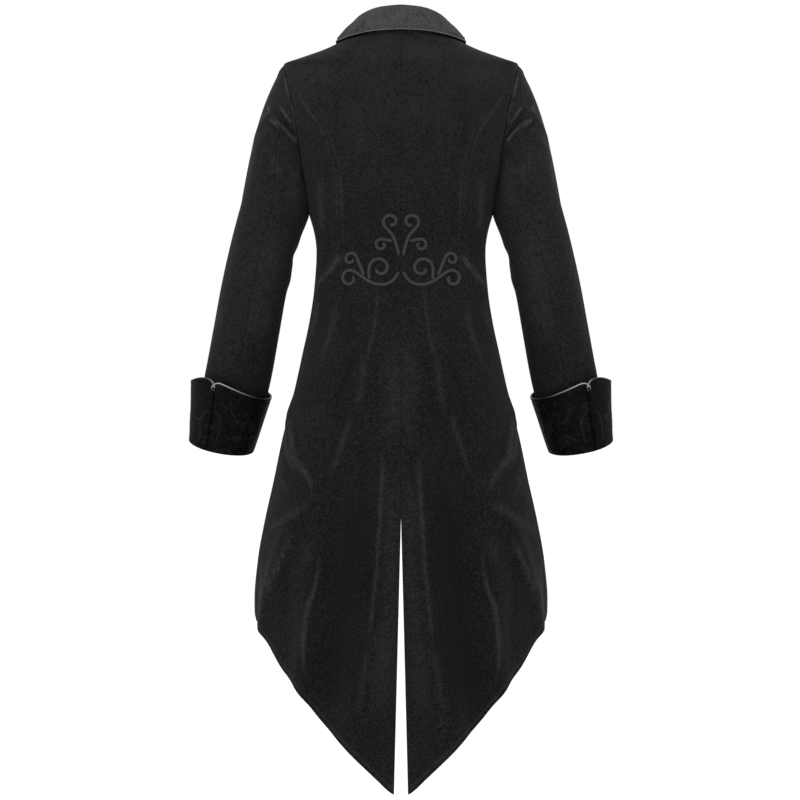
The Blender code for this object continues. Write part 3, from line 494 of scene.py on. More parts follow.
def centre_back_angle(height):
    share = np.clip((VENT_TOP - height) / (VENT_TOP - VENT_FOOT), 0, None)
    return angle_at_x(VENT_HALF_WIDTH * share, height)


def lap_angle(height):
    return 180 + angle_at_x(LAP + 0 * height, height)


def hem_height(angle):
    return smooth(HEM_COLUMNS, HEM, "height", "angle", angle)


def down_to_hem(waist, foot):
    """Heights of the skirt's rows below the waist seam, closest together at the seam and hem."""
    share = shares(SKIRT_ROWS)[1:]
    return waist + (foot - waist) * share


def foot_of(angle_of, rounds=40):
    """The height at which a seam, given as its angle by height, runs off the hem."""
    height = np.float64(HEM_SEARCH_START)
    for _ in range(rounds):
        height = (height + hem_height(angle_of(height))) / 2
    return height


def seam_line(name, angle_of):
    """Heights of a seam's rows, from the neckline to the hem."""
    heights = row_heights(name)
    return np.concatenate([heights, down_to_hem(heights[-1], foot_of(angle_of))])


def shoulder_and_armhole(heights, side, below, last_armhole_row):
    """Angles of a line that is the shoulder seam, then the armhole, then the seam below."""
    angles = below(heights)
    angles[:SHOULDER_TIP + 1] = 90.0
    on_armhole = slice(SHOULDER_TIP + 1, last_armhole_row + 1)
    angles[on_armhole] = armhole_angle(heights[on_armhole], side)
    return angles


def seams():
    """Every seam's angles and heights, by name."""
    centre_back = seam_line("centre_back", centre_back_angle)
    princess = seam_line("princess", princess_angle)
    side = seam_line("side", side_seam_angle)
    lap = seam_line("centre_front", lap_angle)
    return {
        "centre_back": (centre_back_angle(centre_back), centre_back),
        "princess": (
            shoulder_and_armhole(princess, "back", princess_angle, PRINCESS_TOP),
            princess,
        ),
        "side_behind": (shoulder_and_armhole(side, "back", side_seam_angle, ARMPIT), side),
        "side_before": (shoulder_and_armhole(side, "front", side_seam_angle, ARMPIT), side),
        "lap": (lap_angle(lap), lap),
    }


# The panels' grids, a row for each height and a column for each share of the way across


def yoke_row(middle, near, far, share):
    """A row from the centre line round to the shoulder or the armhole, falling like a neckline."""
    near_angle, near_height = near
    far_angle, far_height = far
    angle = near_angle + (far_angle - near_angle) * share
    x = body_point(angle, far_height)[..., 0]
    height = far_height + (near_height - far_height) * np.cos(np.radians(90 * share))
    bent = angle_at_x(x, height)
    return (bent if middle == 0 else 180 - bent), height


def level_row(near, far, share, droop):
    """A row straight across, or one that drops fast at its near end and levels off."""
    angle = near[0] + (far[0] - near[0]) * share
    fall = np.sin(np.radians(90 * share)) if droop else share
    return angle, near[1] + (far[1] - near[1]) * fall


def panel(near, far, columns, first, last, yoke_rows=0, middle=0, droop=False):
    """Angles and heights of a panel's grid between two seams, from its first to its last row."""
    share = shares(columns)
    angles, heights = [], []
    down_shares = shares(SKIRT_ROWS)
    for row in range(first, last + 1):
        ends = (near[0][row], near[1][row]), (far[0][row], far[1][row])
        if row > WAIST_SEAM:
            top_height = heights[WAIST_SEAM - first]
            angle = ends[0][0] + (ends[1][0] - ends[0][0]) * share
            foot_angle = near[0][-1] + (far[0][-1] - near[0][-1]) * share
            down = down_shares[row - WAIST_SEAM]
            height = top_height + (hem_height(foot_angle) - top_height) * down
            height[0], height[-1] = ends[0][1], ends[1][1]
        elif row < yoke_rows:
            angle, height = yoke_row(middle, *ends, share)
        else:
            angle, height = level_row(*ends, share, droop)
        angles.append(angle)
        heights.append(height)
    return np.array(angles), np.array(heights)


def blunted(outer, normals):
    """A panel whose first row is one point, given a narrow top instead."""
    outer, normals = outer.copy(), normals.copy()
    outer[0] += (outer[1] - outer[0]) * TIP_SHARE
    normals[0] = unit(normals[0] + (normals[1] - normals[0]) * TIP_SHARE)
    return outer, normals


def back_face(lines):
    angles, heights = panel(
        lines["centre_back"], lines["princess"], BACK_COLUMNS, 0, WAIST_SEAM + SKIRT_ROWS,
        yoke_rows=PRINCESS_TOP,
    )
    return outer_face(angles, heights)


def side_back_face(lines):
    angles, heights = panel(
        lines["princess"], lines["side_behind"], SIDE_COLUMNS, PRINCESS_TOP, WAIST_SEAM,
        droop=True,
    )
    return blunted(*outer_face(angles, heights))


def side_skirt_face(lines):
    angles, heights = panel(
        lines["princess"], lines["side_behind"], SIDE_COLUMNS, WAIST_SEAM,
        WAIST_SEAM + SKIRT_ROWS, droop=True,
    )
    return outer_face(angles, heights)


def front_angles(lines):
    return panel(
        lines["lap"], lines["side_before"], FRONT_COLUMNS, 0, WAIST_SEAM + SKIRT_ROWS,
        yoke_rows=ARMPIT, middle=180,
    )


# The sleeve


def armhole_ring(lines):
    """Armhole points and body normals: the shoulder tip, down the back, the foot, up the front."""
    angles, heights = [], []
    for row in range(SHOULDER_TIP, ARMPIT + 1):
        angles.append(lines["side_behind"][0][row])
        heights.append(lines["side_behind"][1][row])
    for row in range(ARMPIT - 1, SHOULDER_TIP, -1):
        angles.append(lines["side_before"][0][row])
        heights.append(lines["side_before"][1][row])
    return outer_face(np.array(angles), np.array(heights))


def sleeve_frame(height):
    """Centre, the three directions and the two half widths of a ring round the sleeve."""
    def centre_at(z):
        x = smooth(SLEEVE_COLUMNS, SLEEVE, "x", "height", z)
        y = smooth(SLEEVE_COLUMNS, SLEEVE, "y", "height", z)
        return np.array((float(x), float(y), z))

    low = max(height - SLEEVE_SLOPE_REACH, SLEEVE[-1][0])
    high = min(height + SLEEVE_SLOPE_REACH, SLEEVE[0][0])
    down = (centre_at(low) - centre_at(high)) * np.array((RING_LEAN, 1.0, 1.0))
    down = unit(down)
    back = np.array((0.0, 1.0, 0.0))
    back = unit(back - back.dot(down) * down)
    outward = unit(np.cross(down, back))
    if outward[0] < 0:
        outward = -outward
    across = float(smooth(SLEEVE_COLUMNS, SLEEVE, "across", "height", height))
    deep = float(smooth(SLEEVE_COLUMNS, SLEEVE, "deep", "height", height))
    return centre_at(height), down, outward, back, across, deep


def ring_points(frame, around, off=0.0):
    """Points round a ring, at angles from the outer side towards the back."""
    centre, _, outward, back, across, deep = frame
    turn = np.radians(np.asarray(around, dtype=float))[:, None]
    off = np.reshape(off, (-1, 1))
    return centre + np.cos(turn) * outward * (across + off) + np.sin(turn) * back * (deep + off)


def hermite(start, start_run, end, end_run, share):
    u = share
    return (
        start * (1 + 2 * u) * (1 - u) ** 2
        + start_run * u * (1 - u) ** 2
        + end * u**2 * (3 - 2 * u)
        + end_run * u**2 * (u - 1)
    )


def grid_normals(grid, closed):
    """Normals of a grid, pointing to the left of its columns' run as seen going down its rows."""
    if closed:
        across = np.roll(grid, -1, axis=1) - np.roll(grid, 1, axis=1)
    else:
        across = np.gradient(grid, axis=1)
    return unit(np.cross(np.gradient(grid, axis=0), across))


def sleeve_folds(grid):
    """How far the sleeve's cloth breaks in or out at each point of its grid."""
    relief = np.zeros(grid.shape[:2])
    around = np.arange(grid.shape[1]) * 360 / RING
    for row in SLEEVE_FOLDS:
        fold = dict(zip(SLEEVE_FOLD_COLUMNS, row))
        turn = (around - fold["around"] + 180) % 360 - 180
        sideways = np.radians(turn)[None, :] * SLEEVE_RADIUS
        middle = fold["height"] + fold["slant"] * sideways
        down = (grid[..., 2] - middle) / fold["tall"]
        relief += fold["lift"] * np.exp(-(down**2) - (sideways / fold["wide"]) ** 2)
    relief[0] = 0
    return relief


def sleeve_grid(lines):
    """The whole left sleeve as one closed grid of rings, from the armhole to the wrist."""
    armhole, body_normals = armhole_ring(lines)
    around = np.arange(RING) * 360 / RING
    turn = np.radians(around)[:, None]
    ring = sleeve_frame(SLEEVE[0][0])
    first_ring = ring_points(ring, around)
    top = np.clip(np.cos(turn), 0, 1) ** 2
    foot = np.clip(-np.cos(turn), 0, 1) ** 2
    side = np.sin(turn) ** 2
    leaving = unit(top * CAP_TOP + foot * CAP_FOOT + side * CAP_SIDE)
    bent_away = np.clip(-4 * (leaving * body_normals).sum(axis=1, keepdims=True), 0, 1)
    length = np.linalg.norm(first_ring - armhole, axis=1, keepdims=True)
    rows = [
        hermite(armhole, leaving * length, first_ring, ring[1] * length, share)
        for share in SLEEVE_CAP_ROWS
    ]
    for height in np.linspace(SLEEVE[0][0], SLEEVE[-1][0], SLEEVE_RINGS):
        rows.append(ring_points(sleeve_frame(float(height)), around))
    grid = np.array(rows)
    normals = grid_normals(grid, closed=True)
    grid = grid + normals * sleeve_folds(grid)[..., None]
    normals[0] = unit(normals[0] + bent_away * (body_normals - normals[0]))
    return grid, normals


# The cuff


def cuff_heights(around, radius):
    """Height of the cuff's top edge round the arm, with round corners beside its slit."""
    past = (around - CUFF_RISE_AT + 180) % 360 - 180
    reach = np.where(past > 0, CUFF_RISE_REACH["inner"], CUFF_RISE_REACH["outer"])
    bump = np.exp(-((past / reach) ** 2))
    from_slit = np.minimum(around - CUFF_SLIT, CUFF_SLIT + 360 - around)
    near_slit = np.clip(1 - np.radians(from_slit) * radius / CUFF_CORNER, 0, 1)
    return CUFF_HEIGHT + CUFF_RISE * bump - CUFF_CORNER * (1 - np.sqrt(1 - near_slit**2))


def cuff_grid():
    frame = sleeve_frame(SLEEVE[-1][0])
    _, down, _, _, across, deep = frame
    step = 360 / RING
    inner_columns = CUFF_SLIT + step * np.arange(1, RING)
    beside = CUFF_CORNER_COLUMNS
    around = np.concatenate([CUFF_SLIT + beside, inner_columns, CUFF_SLIT + 360 - beside[::-1]])
    heights = cuff_heights(around, (across + deep) / 2)
    outer_share = (1 + np.cos(np.radians(around))) / 2
    rows = []
    for up, off in CUFF_FOLD:
        rows.append((up + 0 * around, off + 0 * around))
    for share, outer, inner in CUFF_FLARE:
        rows.append((heights * share, inner + (outer - inner) * outer_share))
    grid = []
    for up, off in rows:
        opened = CUFF_SLIT_FOOT + (CUFF_SLIT_TOP - CUFF_SLIT_FOOT) * np.clip(up / CUFF_HEIGHT, 0, 1)
        shift = np.degrees(opened / across)
        turned = around.copy()
        turned[0] += shift[0]
        turned[-1] -= shift[-1]
        grid.append(ring_points(frame, turned, off) - up[:, None] * down)
    return np.array(grid)


# The collar


def neck_stations(lines):
    """Stations of the left half of the collar: number, neckline point and the way up from it."""
    back_angles, back_heights = panel(
        lines["centre_back"], lines["princess"], BACK_COLUMNS, 0, 1, yoke_rows=PRINCESS_TOP
    )
    front_angle, front_height = front_angles(lines)
    found = []
    halves = (
        (outer_face(back_angles, back_heights)[0], shares(BACK_COLUMNS)),
        (
            outer_face(front_angle[:2], front_height[:2])[0][:, ::-1],
            1 + shares(FRONT_COLUMNS)[1:],
        ),
    )
    for grid, numbers in halves:
        grid = grid[:, -len(numbers):]
        run = unit(np.gradient(grid[0], axis=0))
        up = grid[0] - grid[1]
        up = unit(up - (up * run).sum(axis=-1, keepdims=True) * run)
        found.extend(zip(numbers, grid[0], up))
    kept = [row for row in found if row[1][0] > COLLAR_END_X + COLLAR_END_CLEAR or row[0] < 1]
    front = grid[0][::-1]
    end = [np.interp(COLLAR_END_X, front[:, 0], front[:, axis]) for axis in range(3)]
    kept.append((2.0, np.array(end), kept[-1][2]))
    return kept


def collar_profile(number, neck, up):
    """Middle of the collar's cloth at one station: up the stand, over the fold, down to the edge."""
    place = [
        float(smooth(COLLAR_COLUMNS, COLLAR, name, "station", number))
        for name in COLLAR_COLUMNS[1:]
    ]
    fold, edge = np.array(place[:3]), np.array(place[3:])
    outward = unit(np.array((fold[0] / NECK_HALF_WIDTH**2, fold[1] / NECK_HALF_DEPTH**2, 0.0)))
    rise = np.array((0.0, 0.0, 1.0))
    foot = neck + up * SEAM * 2 - outward * COLLAR_CLOTH / 2
    core = fold - rise * COLLAR_ROLL
    inside = core - outward * COLLAR_ROLL
    outside = core + outward * COLLAR_ROLL
    points = [foot, (foot + inside) / 2, inside]
    for degrees in COLLAR_ROLL_TURNS:
        turn = math.radians(degrees)
        rolled = rise * math.sin(turn) - outward * math.cos(turn)
        points.append(core + rolled * COLLAR_ROLL)
    points.append(outside)
    away = unit(outward + rise / 2)
    for share in COLLAR_FALL_SHARES:
        bulge = COLLAR_BULGE * math.sin(math.pi * share)
        points.append(outside + (edge - outside) * share + away * bulge)
    return np.array(points)


# Cords and buttons, laid on the panels that carry them


def seat_finder(*grids):
    """A search tree over outer faces, in millimetres."""
    points, faces = [], []
    for grid in grids:
        rows, columns = grid.shape[:2]
        start = len(points)
        points.extend(Vector(point) for point in grid.reshape(-1, 3))
        for row in range(rows - 1):
            for column in range(columns - 1):
                a = start + row * columns + column
                faces.append((a, a + 1, a + columns + 1))
                faces.append((a, a + columns + 1, a + columns))
    return BVHTree.FromPolygons(points, faces)


def seat(finder, x, z, from_behind):
    """The place on the cloth straight before or behind this point of the coat's view."""
    far = SEAT_FROM if from_behind else -SEAT_FROM
    place, normal, _, _ = finder.ray_cast(Vector((x, far, z)), Vector((0, -far, 0)).normalized())
    normal = np.array(normal)
    return np.array(place), normal if normal[1] * far > 0 else -normal


def scroll_path(start_x, start_z, headings):
    """Points along a cord in the view from behind, and their directions."""
    rows = [(float(length), float(heading)) for length, heading in headings]
    count = int(round(rows[-1][0] / CORD_STEP))
    step = rows[-1][0] / count
    middles = (np.arange(count) + 0.5) * step
    turned = np.radians(smooth(("length", "heading"), rows, "heading", "length", middles))
    x = start_x + np.concatenate([[0], np.cumsum(np.cos(turned) * step)])
    z = start_z + np.concatenate([[0], np.cumsum(np.sin(turned) * step)])
    return x, z


def scroll_course(name):
    """Where a cord starts, and its headings by length: its lead and then the shared curl."""
    scroll = dict(zip(SCROLL_COLUMNS, SCROLLS[name]))
    headings = list(scroll["lead"])
    for quarter in CURL_QUARTERS:
        length, heading = headings[-1]
        headings.append((length + quarter * scroll["size"], heading + 90 * scroll["hand"]))
    return scroll["x"], scroll["z"], tuple(headings)


# Creases as they show from behind, in the plane through the sleeves' line: a width, a lift, how
# much painted highlight lies along it, or painted shade where that is below 0, the shares over
# which each starts and fades, and its path. Both sides have the rows marked 0, the left only
# those marked 1 and the right those marked -1.
CREASE_COLUMNS = ("side", "width", "lift", "light", "run_in", "run_out", "path")
SEEN = (
    # The back's darts and the long ridge and valley down each tail
    (0, 2.8, 1.3, 0.7, 0.1, 0.25, ((38, -405), (40, -443), (48, -486), (56, -522))),
    (0, 6.5, 2.0, 0.4, 0.25, 0.4, ((56, -502), (62, -555), (67, -582), (74, -611))),
    (0, 5.5, 2.0, 0.5, 0.3, 0.4, ((78, -586), (85, -624), (96, -654), (104, -683), (117, -720))),
    (0, 4.6, 3.2, 0.75, 0.12, 0.2,
     ((29, -659), (30, -707), (34, -771), (38, -835), (43, -886), (48, -934), (53, -986))),
    (0, 6.5, 2.6, 0.55, 0.3, 0.5, ((50, -955), (58, -1010), (66, -1059), (76, -1110))),
    (0, 17.0, -2.0, -0.15, 0.4, 0.3, ((54, -619), (58, -704), (61, -787))),
    (0, 48.0, -3.4, -0.75, 0.3, 0.2,
     ((66, -655), (72, -731), (80, -835), (91, -931), (102, -1014), (112, -1100))),
    (0, 8.0, -1.4, -0.45, 0.4, 0.4, ((67, -480), (82, -531), (99, -576), (101, -618))),
    (0, 14.0, -1.2, -0.3, 0.4, 0.4, ((75, -432), (82, -467), (82, -502))),
    (0, 7.0, 1.5, 0.5, 0.3, 0.4, ((104, -416), (109, -459), (122, -499), (134, -538))),
    (0, 8.0, 0.8, 0.55, 0.4, 0.4, ((131, -414), (136, -448), (144, -483))),
    (0, 22.0, 0.0, 0.3, 0.2, 0.2, ((17, -670), (19, -835), (27, -980), (38, -1110))),
    (0, 17.0, 0.0, 0.3, 0.4, 0.3, ((12, -450), (12, -560), (14, -680))),
    # The sides
    (0, 5.2, 3.4, 1.05, 0.2, 0.25,
     ((178, -602), (174, -643), (171, -670), (158, -688), (146, -707), (141, -731))),
    (0, 4.0, 1.6, 0.5, 0.3, 0.4, ((192, -699), (184, -723), (176, -742))),
    (0, 8.0, -1.8, -0.4, 0.4, 0.4, ((189, -643), (184, -682), (168, -707), (158, -726))),
    (0, 8.0, 2.6, 0.55, 0.3, 0.3, ((138, -741), (160, -754), (184, -770), (214, -790))),
    (0, 5.5, 2.8, 0.85, 0.3, 0.3, ((174, -789), (187, -819), (197, -845), (210, -874), (216, -906))),
    (0, 10.0, 0.8, 0.6, 0.4, 0.4, ((221, -829), (224, -875), (219, -918))),
    (0, 11.0, -2.0, -0.45, 0.3, 0.4, ((181, -822), (184, -875), (181, -944))),
    (0, 4.8, 3.0, 1.05, 0.4, 0.3,
     ((126, -800), (131, -848), (139, -883), (149, -909), (155, -947), (157, -989), (150, -1043))),
    (0, 13.0, 1.2, 0.25, 0.4, 0.4, ((147, -797), (150, -851))),
    (0, 6.4, 1.4, 1.1, 0.15, 0.2, ((94, -344), (104, -358), (120, -379), (136, -400))),
    # The upper back
    (0, 9.0, 0.9, 0.6, 0.3, 0.3, ((132, -215), (128, -270), (126, -326))),
    (0, 7.0, 0.8, 0.35, 0.4, 0.4, ((110, -200), (99, -243), (94, -304))),
    (0, 3.2, 0.9, 0.5, 0.2, 0.4, ((171, -74), (154, -107), (133, -134), (118, -166), (109, -198))),
    (0, 5.0, -1.0, -0.4, 0.3, 0.4, ((104, -74), (102, -131), (102, -205))),
    (0, 11.0, -1.4, -0.25, 0.4, 0.4, ((88, -221), (85, -275), (86, -330))),
    (0, 26.0, 0.6, 0.28, 0.3, 0.5, ((176, -66), (130, -56), (80, -46))),
    (0, 22.0, 0.4, 0.28, 0.5, 0.2, ((90, -34), (46, -22), (0, -16))),
    (0, 4.2, 0.7, 0.35, 0.4, 0.4, ((19, -86), (22, -131))),
    (1, 5.0, 0.7, 0.2, 0.4, 0.4, ((62, -93), (66, -144), (62, -195))),
    (-1, 5.0, 0.7, 0.2, 0.4, 0.4, ((56, -106), (61, -157), (58, -214))),
    # The sleeve's head, drawn to the armhole, and the arm
    (0, 3.2, 1.7, 2.2, 0.1, 0.3, ((190.5, -47), (185.5, -61), (181, -83), (176.5, -98))),
    (0, 2.2, 0.7, 1.5, 0.3, 0.4, ((176, -100), (174, -110), (168, -134), (164, -152))),
    (0, 2.3, 1.8, 2.3, 0.15, 0.25, ((193.5, -110), (185.5, -122), (173, -139))),
    (0, 2.3, -1.4, -1.6, 0.25, 0.25, ((197, -116), (189, -127), (177, -143))),
    (0, 2.3, 2.0, 2.3, 0.15, 0.2, ((203, -130), (189, -142), (176, -157), (165, -170))),
    (0, 2.2, -1.4, -1.6, 0.25, 0.25, ((200, -125), (186, -138), (174, -151), (166, -162))),
    (0, 4.2, 1.3, 1.8, 0.3, 0.3, ((218, -94), (213, -108), (209, -120))),
    (0, 2.5, 1.9, 2.0, 0.15, 0.3, ((219, -120), (205, -134), (193, -146))),
    (0, 2.4, -1.1, -1.2, 0.25, 0.25, ((220, -127), (206, -141), (195, -152))),
    (0, 14.0, 0.5, 0.6, 0.4, 0.4, ((203, -66), (214, -92), (224, -141))),
    (0, 8.0, 1.2, 0.35, 0.4, 0.4, ((213, -173), (197, -208), (178, -237))),
    (0, 5.0, -1.2, -0.5, 0.3, 0.4, ((170, -157), (160, -195), (154, -240))),
    (0, 20.0, 0.0, 0.4, 0.3, 0.4, ((176, -185), (170, -225), (172, -290))),
    (0, 12.0, 0.0, 0.5, 0.4, 0.4, ((232, -165), (243, -215), (254, -269))),
    (0, 17.0, 0.0, 0.25, 0.4, 0.2, ((256, -288), (272, -352), (288, -422), (298, -500))),
    (0, 24.0, 0.0, 0.3, 0.3, 0.2, ((190, -288), (206, -352), (220, -419), (236, -499))),
    (1, 10.0, 1.0, 0.12, 0.4, 0.4, ((222, -317), (242, -368), (248, -406))),
    (-1, 10.0, 1.0, 0.12, 0.4, 0.4, ((213, -304), (235, -349), (251, -381))),
)

# Creases of the sides that the picture hides, as angles round the body and heights.
HIDDEN = (
    (0, 7.0, 1.8, 0.48, 0.4, 0.5, ((122, -150), (128, -176), (138, -196))),
    (0, 6.0, 1.4, 0.32, 0.4, 0.5, ((124, -185), (134, -208), (146, -222))),
    (0, 7.0, -1.6, 0.0, 0.4, 0.5, ((122, -168), (131, -192), (142, -210))),
    (0, 7.0, 1.6, 0.32, 0.4, 0.5, ((110, -330), (124, -345), (140, -350))),
    (1, 7.0, 1.6, 0.32, 0.4, 0.5, ((104, -366), (120, -372), (134, -368))),
    (-1, 7.0, 1.5, 0.32, 0.4, 0.5, ((106, -352), (122, -366), (138, -372))),
    (0, 9.0, 2.6, 0.64, 0.5, 0.3, ((128, -430), (122, -520), (117, -620), (114, -740))),
    (0, 8.0, 2.2, 0.48, 0.5, 0.4, ((148, -440), (150, -520), (150, -610), (149, -650))),
    (1, 7.0, 1.8, 0.32, 0.5, 0.4, ((162, -430), (165, -500), (166, -560))),
    (-1, 7.0, 1.8, 0.32, 0.5, 0.4, ((160, -442), (163, -506), (163, -580))),
    (0, 8.0, 2.0, 0.48, 0.4, 0.4, ((104, -560), (98, -650), (96, -760), (96, -850))),
    (0, 5.0, 1.2, 0.24, 0.4, 0.4, ((160, -120), (164, -150), (166, -190))),
    (0, 6.0, 1.2, 0.24, 0.4, 0.4, ((106, -60), (118, -82), (130, -110))),
)

# Creases of the sleeves, as directions from the outer side towards the back and heights.
ON_SLEEVE = (
    (0, 7.0, 1.8, 0.48, 0.4, 0.4, ((318, -338), (286, -350), (250, -352), (226, -346))),
    (0, 6.0, 1.5, 0.32, 0.4, 0.4, ((310, -374), (276, -382), (244, -378))),
    (1, 7.0, 1.7, 0.4, 0.4, 0.4, ((322, -398), (284, -406), (248, -398))),
    (-1, 7.0, 1.7, 0.4, 0.4, 0.4, ((314, -392), (280, -404), (242, -402))),
    (0, 8.0, 1.6, 0.32, 0.4, 0.4, ((300, -290), (284, -330), (280, -420))),
    (0, 7.0, 1.5, 0.32, 0.4, 0.4, ((326, -520), (306, -545), (280, -556))),
    (0, 6.0, 1.4, 0.32, 0.4, 0.4, ((330, -130), (312, -158), (296, -190))),
    (0, 6.0, 1.6, 0.48, 0.4, 0.4, ((320, -150), (298, -172), (280, -182))),
    # The fullness under the arm, which closes on the body below the armpit
    (0, 13.0, 4.4, -0.16, 0.25, 0.5, ((181, -232), (181, -262), (182, -316))),
)

# A crease reaches this many of its widths. Its lift and its light fall off with these powers of
# the distance, and its light is narrower by the last number.
CREASE_REACH = 2.8
CREASE_LIFT_POWER = 1.6
CREASE_LIGHT_POWER = 2.2
CREASE_LIGHT_NARROWING = 1.25

# Pressed seams: how much painted highlight lies beside each kind, how deep its groove is in
# millimetres and how dark its painted shade is.
SEAM_LOOKS = {
    "centre_back": (0.04, 0.4, 0.1),
    "princess": (0.22, 0.6, 0.28),
    "princess_skirt": (0.06, 0.5, 0.16),
    "armhole": (0.25, 1.2, 0.85),
    "side": (0.25, 0.9, 0.5),
    "shoulder": (0.3, 0.7, 0.45),
    "waist": (0.75, 1.0, 0.45),
    "sleeve": (0.08, 0.4, 0.15),
}
SEAM_REACH = 2.6
SEAM_SHADE_REACH = 1.5
# Creases die out this near to a seam.
SEAM_CALM = 5.0
# The painted highlight beside a seam: how far from it and how wide
SEAM_SHINE = (4.0, 2.2)
# Soft ridges, or grooves where the last number is below 0: how far from a seam or an edge, how
# wide and how high. The swell's height is for each millimetre of the seam's own depth. Those
# named shine or shade are bands of painted highlight or painted shade instead, and their last
# number is how strong: along the hem, beside the cuff's slit, at the collar's stitching and on
# its edge. The collar's roll line is both a groove and painted shade.
SEAM_SWELL = (7.0, 3.2, 0.3)
HEM_SHINE = (10.0, 3.4, 0.45)
HEM_STITCH = (16.0, 2.2, -0.35)
CAP_EASE = (12.0, 8.0, 1.6)
CUFF_STITCH = (6.0, 1.3, -0.5)
CUFF_SLIT_SHADE = (0.0, 4.4, 0.95)
COLLAR_STITCH = (6.0, 1.3, -0.75)
COLLAR_STITCH_SHADE = (6.0, 1.2, 0.45)
COLLAR_EDGE_SWELL = (2.6, 1.6, 0.5)
COLLAR_EDGE_SHINE = (2.2, 1.4, 0.5)
COLLAR_ROLL_LINE = (6.5, 1.2, 0.5)
# Spans over which something comes in: a height in the first, how far before or behind the
# sleeves' line in the second, and else a distance along the cloth.
VENT_CLOSES = (VENT_TOP - 12.0, VENT_TOP + 18.0)
COLLAR_BEHIND = (-12.0, 14.0)
COLLAR_FALLS = (30.0, 40.0)
CUFF_STITCH_FROM = (6.0, 14.0)
CUFF_CREASE_FROM = (3.0, 8.0)
CUFF_ROLL_FROM = (20.0, 60.0)
CUFF_SHADE_FROM = (2.0, 9.0)
CUFF_PIPING_SHINES_FROM = (3.0, 9.0)
SLEEVE_TURNS_OWN = (0.0, 9.0)
SLEEVE_CREASE_FROM = (0.0, 12.0)
SLEEVE_SEAM_FROM = (0.0, 6.0)
# The share of its painted highlight that a seam keeps on its duller side, the armhole seam's
# painted highlight on the sleeve, and how much of its depth that seam loses over the cap
PRINCESS_SIDE_SHINE = 0.2
WAIST_SKIRT_SHINE = 0.3
ARMHOLE_SLEEVE_LIGHT = 0.2
CAP_DEPTH_LOSS = 0.7
# The sleeves are painted a little lighter than the body, as painted light.
SLEEVE_LIGHT = 0.17
# How far the rims of the cloth swell out, as a share of its thickness
RIM_ROUND = 0.12
TINY = 1e-6
# The step of the cuffs' and the collar's rows
CUFF_ROW_STEP = 1.7
COLLAR_ROW_STEP = 1.5
# The collar: where its profile is highest, and how many times it is evened out along the neck.
COLLAR_TOP_ROW = 3.5
COLLAR_SOFTENING = 30
# How the collar turns in to the back along its edge, as a ridge
COLLAR_TURN = (0.0, 11.0, 2.6)
PIPING_RADIUS = 1.2
CUFF_PIPING_RADIUS = 1.5
# A tube's end is this share as thick. Its rings turn another way where it runs this near upright.
TUBE_END = 0.55
TUBE_UPRIGHT = 0.2
# The cuffs' piping turns down into the slit, and a painted highlight on its satin is strongest beside it.
CUFF_PIPING_TURN = 7.0
CUFF_PIPING_FADES = (96.0, 30.0)
CUFF_PIPING_HOLD = 0.25
# The slit's two edges roll inwards.
CUFF_SLIT_ROLL = 1.8
CUFF_SLIT_REACH = 5.0

# The scroll braid's section: a rib from its edge in to the groove between the two, as shares of
# the half width and of the height, and how much painted highlight the thread gets there, with
# painted shade at its edges and, less, in the groove.
BRAID_RIB = ((1.42, 0.0, 0.0), (1.05, 0.22, 0.0), (0.88, 0.8, 0.25), (0.5, 1.0, 1.0), (0.18, 0.84, 0.8))
BRAID_GROOVE = (0.0, 0.66, 0.5)
BRAID_SECTION = (*((-across, up, pale) for across, up, pale in BRAID_RIB), BRAID_GROOVE, *BRAID_RIB[::-1])
BRAID_SEAT = 0.15
# The thread's twist: how much it swells the braid and changes its painted highlight, how far it
# runs ahead across the braid, and its length.
BRAID_BEAT = 0.18
BRAID_SHINE_BEAT = 0.28
BRAID_SKEW = 0.22
BRAID_TWIST = 4.2
# A cord's first size at each end, and how much it grows at each ring
BRAID_END = 0.45
BRAID_END_GROWTH = 0.25
# How far each cord's first end runs on under its neighbour
BRAID_TUCK = {"crown": 2.0, "brow": 6.0, "sweep": 2.0, "wheel": 6.0, "hook": 6.0}

# Faint scrolls pressed into the cuffs' pile, drawn as the braid is: a place round the cuff from
# its slit and up from its foot, then headings by length.
CUFF_SCROLLS = (
    (16, 12, ((0, 70), (26, 84), (46, 130), (66, 240), (84, 380))),
    (30, 16, ((0, 60), (22, 30), (40, -40), (56, -150), (70, -290))),
    (34, 78, ((0, -80), (20, -40), (38, 30), (54, 130), (66, 250))),
    (58, 20, ((0, 100), (24, 80), (44, 20), (60, -90), (74, -220))),
    (76, 70, ((0, -110), (22, -80), (40, -10), (56, 100), (68, 220))),
    (96, 14, ((0, 80), (28, 100), (46, 160), (64, 290))),
    (120, 60, ((0, -70), (24, -30), (42, 50), (60, 170), (72, 280))),
    (150, 20, ((0, 75), (26, 90), (44, 140), (64, 270), (78, 390))),
    (-18, 14, ((0, 100), (28, 84), (46, 30), (62, -80), (76, -210))),
    (-40, 70, ((0, -100), (20, -60), (38, 20), (56, 140))),
    (-62, 18, ((0, 90), (26, 110), (44, 170), (60, 280), (74, 400))),
    (-90, 60, ((0, -80), (24, -120), (40, -200), (58, -330))),
    (-120, 20, ((0, 80), (26, 60), (44, 0), (62, -120))),
)

CUFF_STROKE = {"width": 1.9, "lift": 0.55, "light": 0.9, "run_in": 0.12, "run_out": 0.1}
# The cuff's run round its fold, how near the scrolls come to its sides and its foot and to its
# top, and the fewest points that make a stroke
CUFF_FOLD_RUN = 4.0
CUFF_SCROLL_MARGIN = 5.0
CUFF_SCROLL_TOP_MARGIN = 6.0
CUFF_SCROLL_LEAST_POINTS = 7

# The buttons' rope: how high it stands, its strands, and where on the button it lies
BUTTON_TURNS = 60
ROPE_HEIGHT = 0.22
ROPE_STRANDS = 20
ROPE_RADII = (8.4, 10.6)
ROPE_ABOVE = 3.0
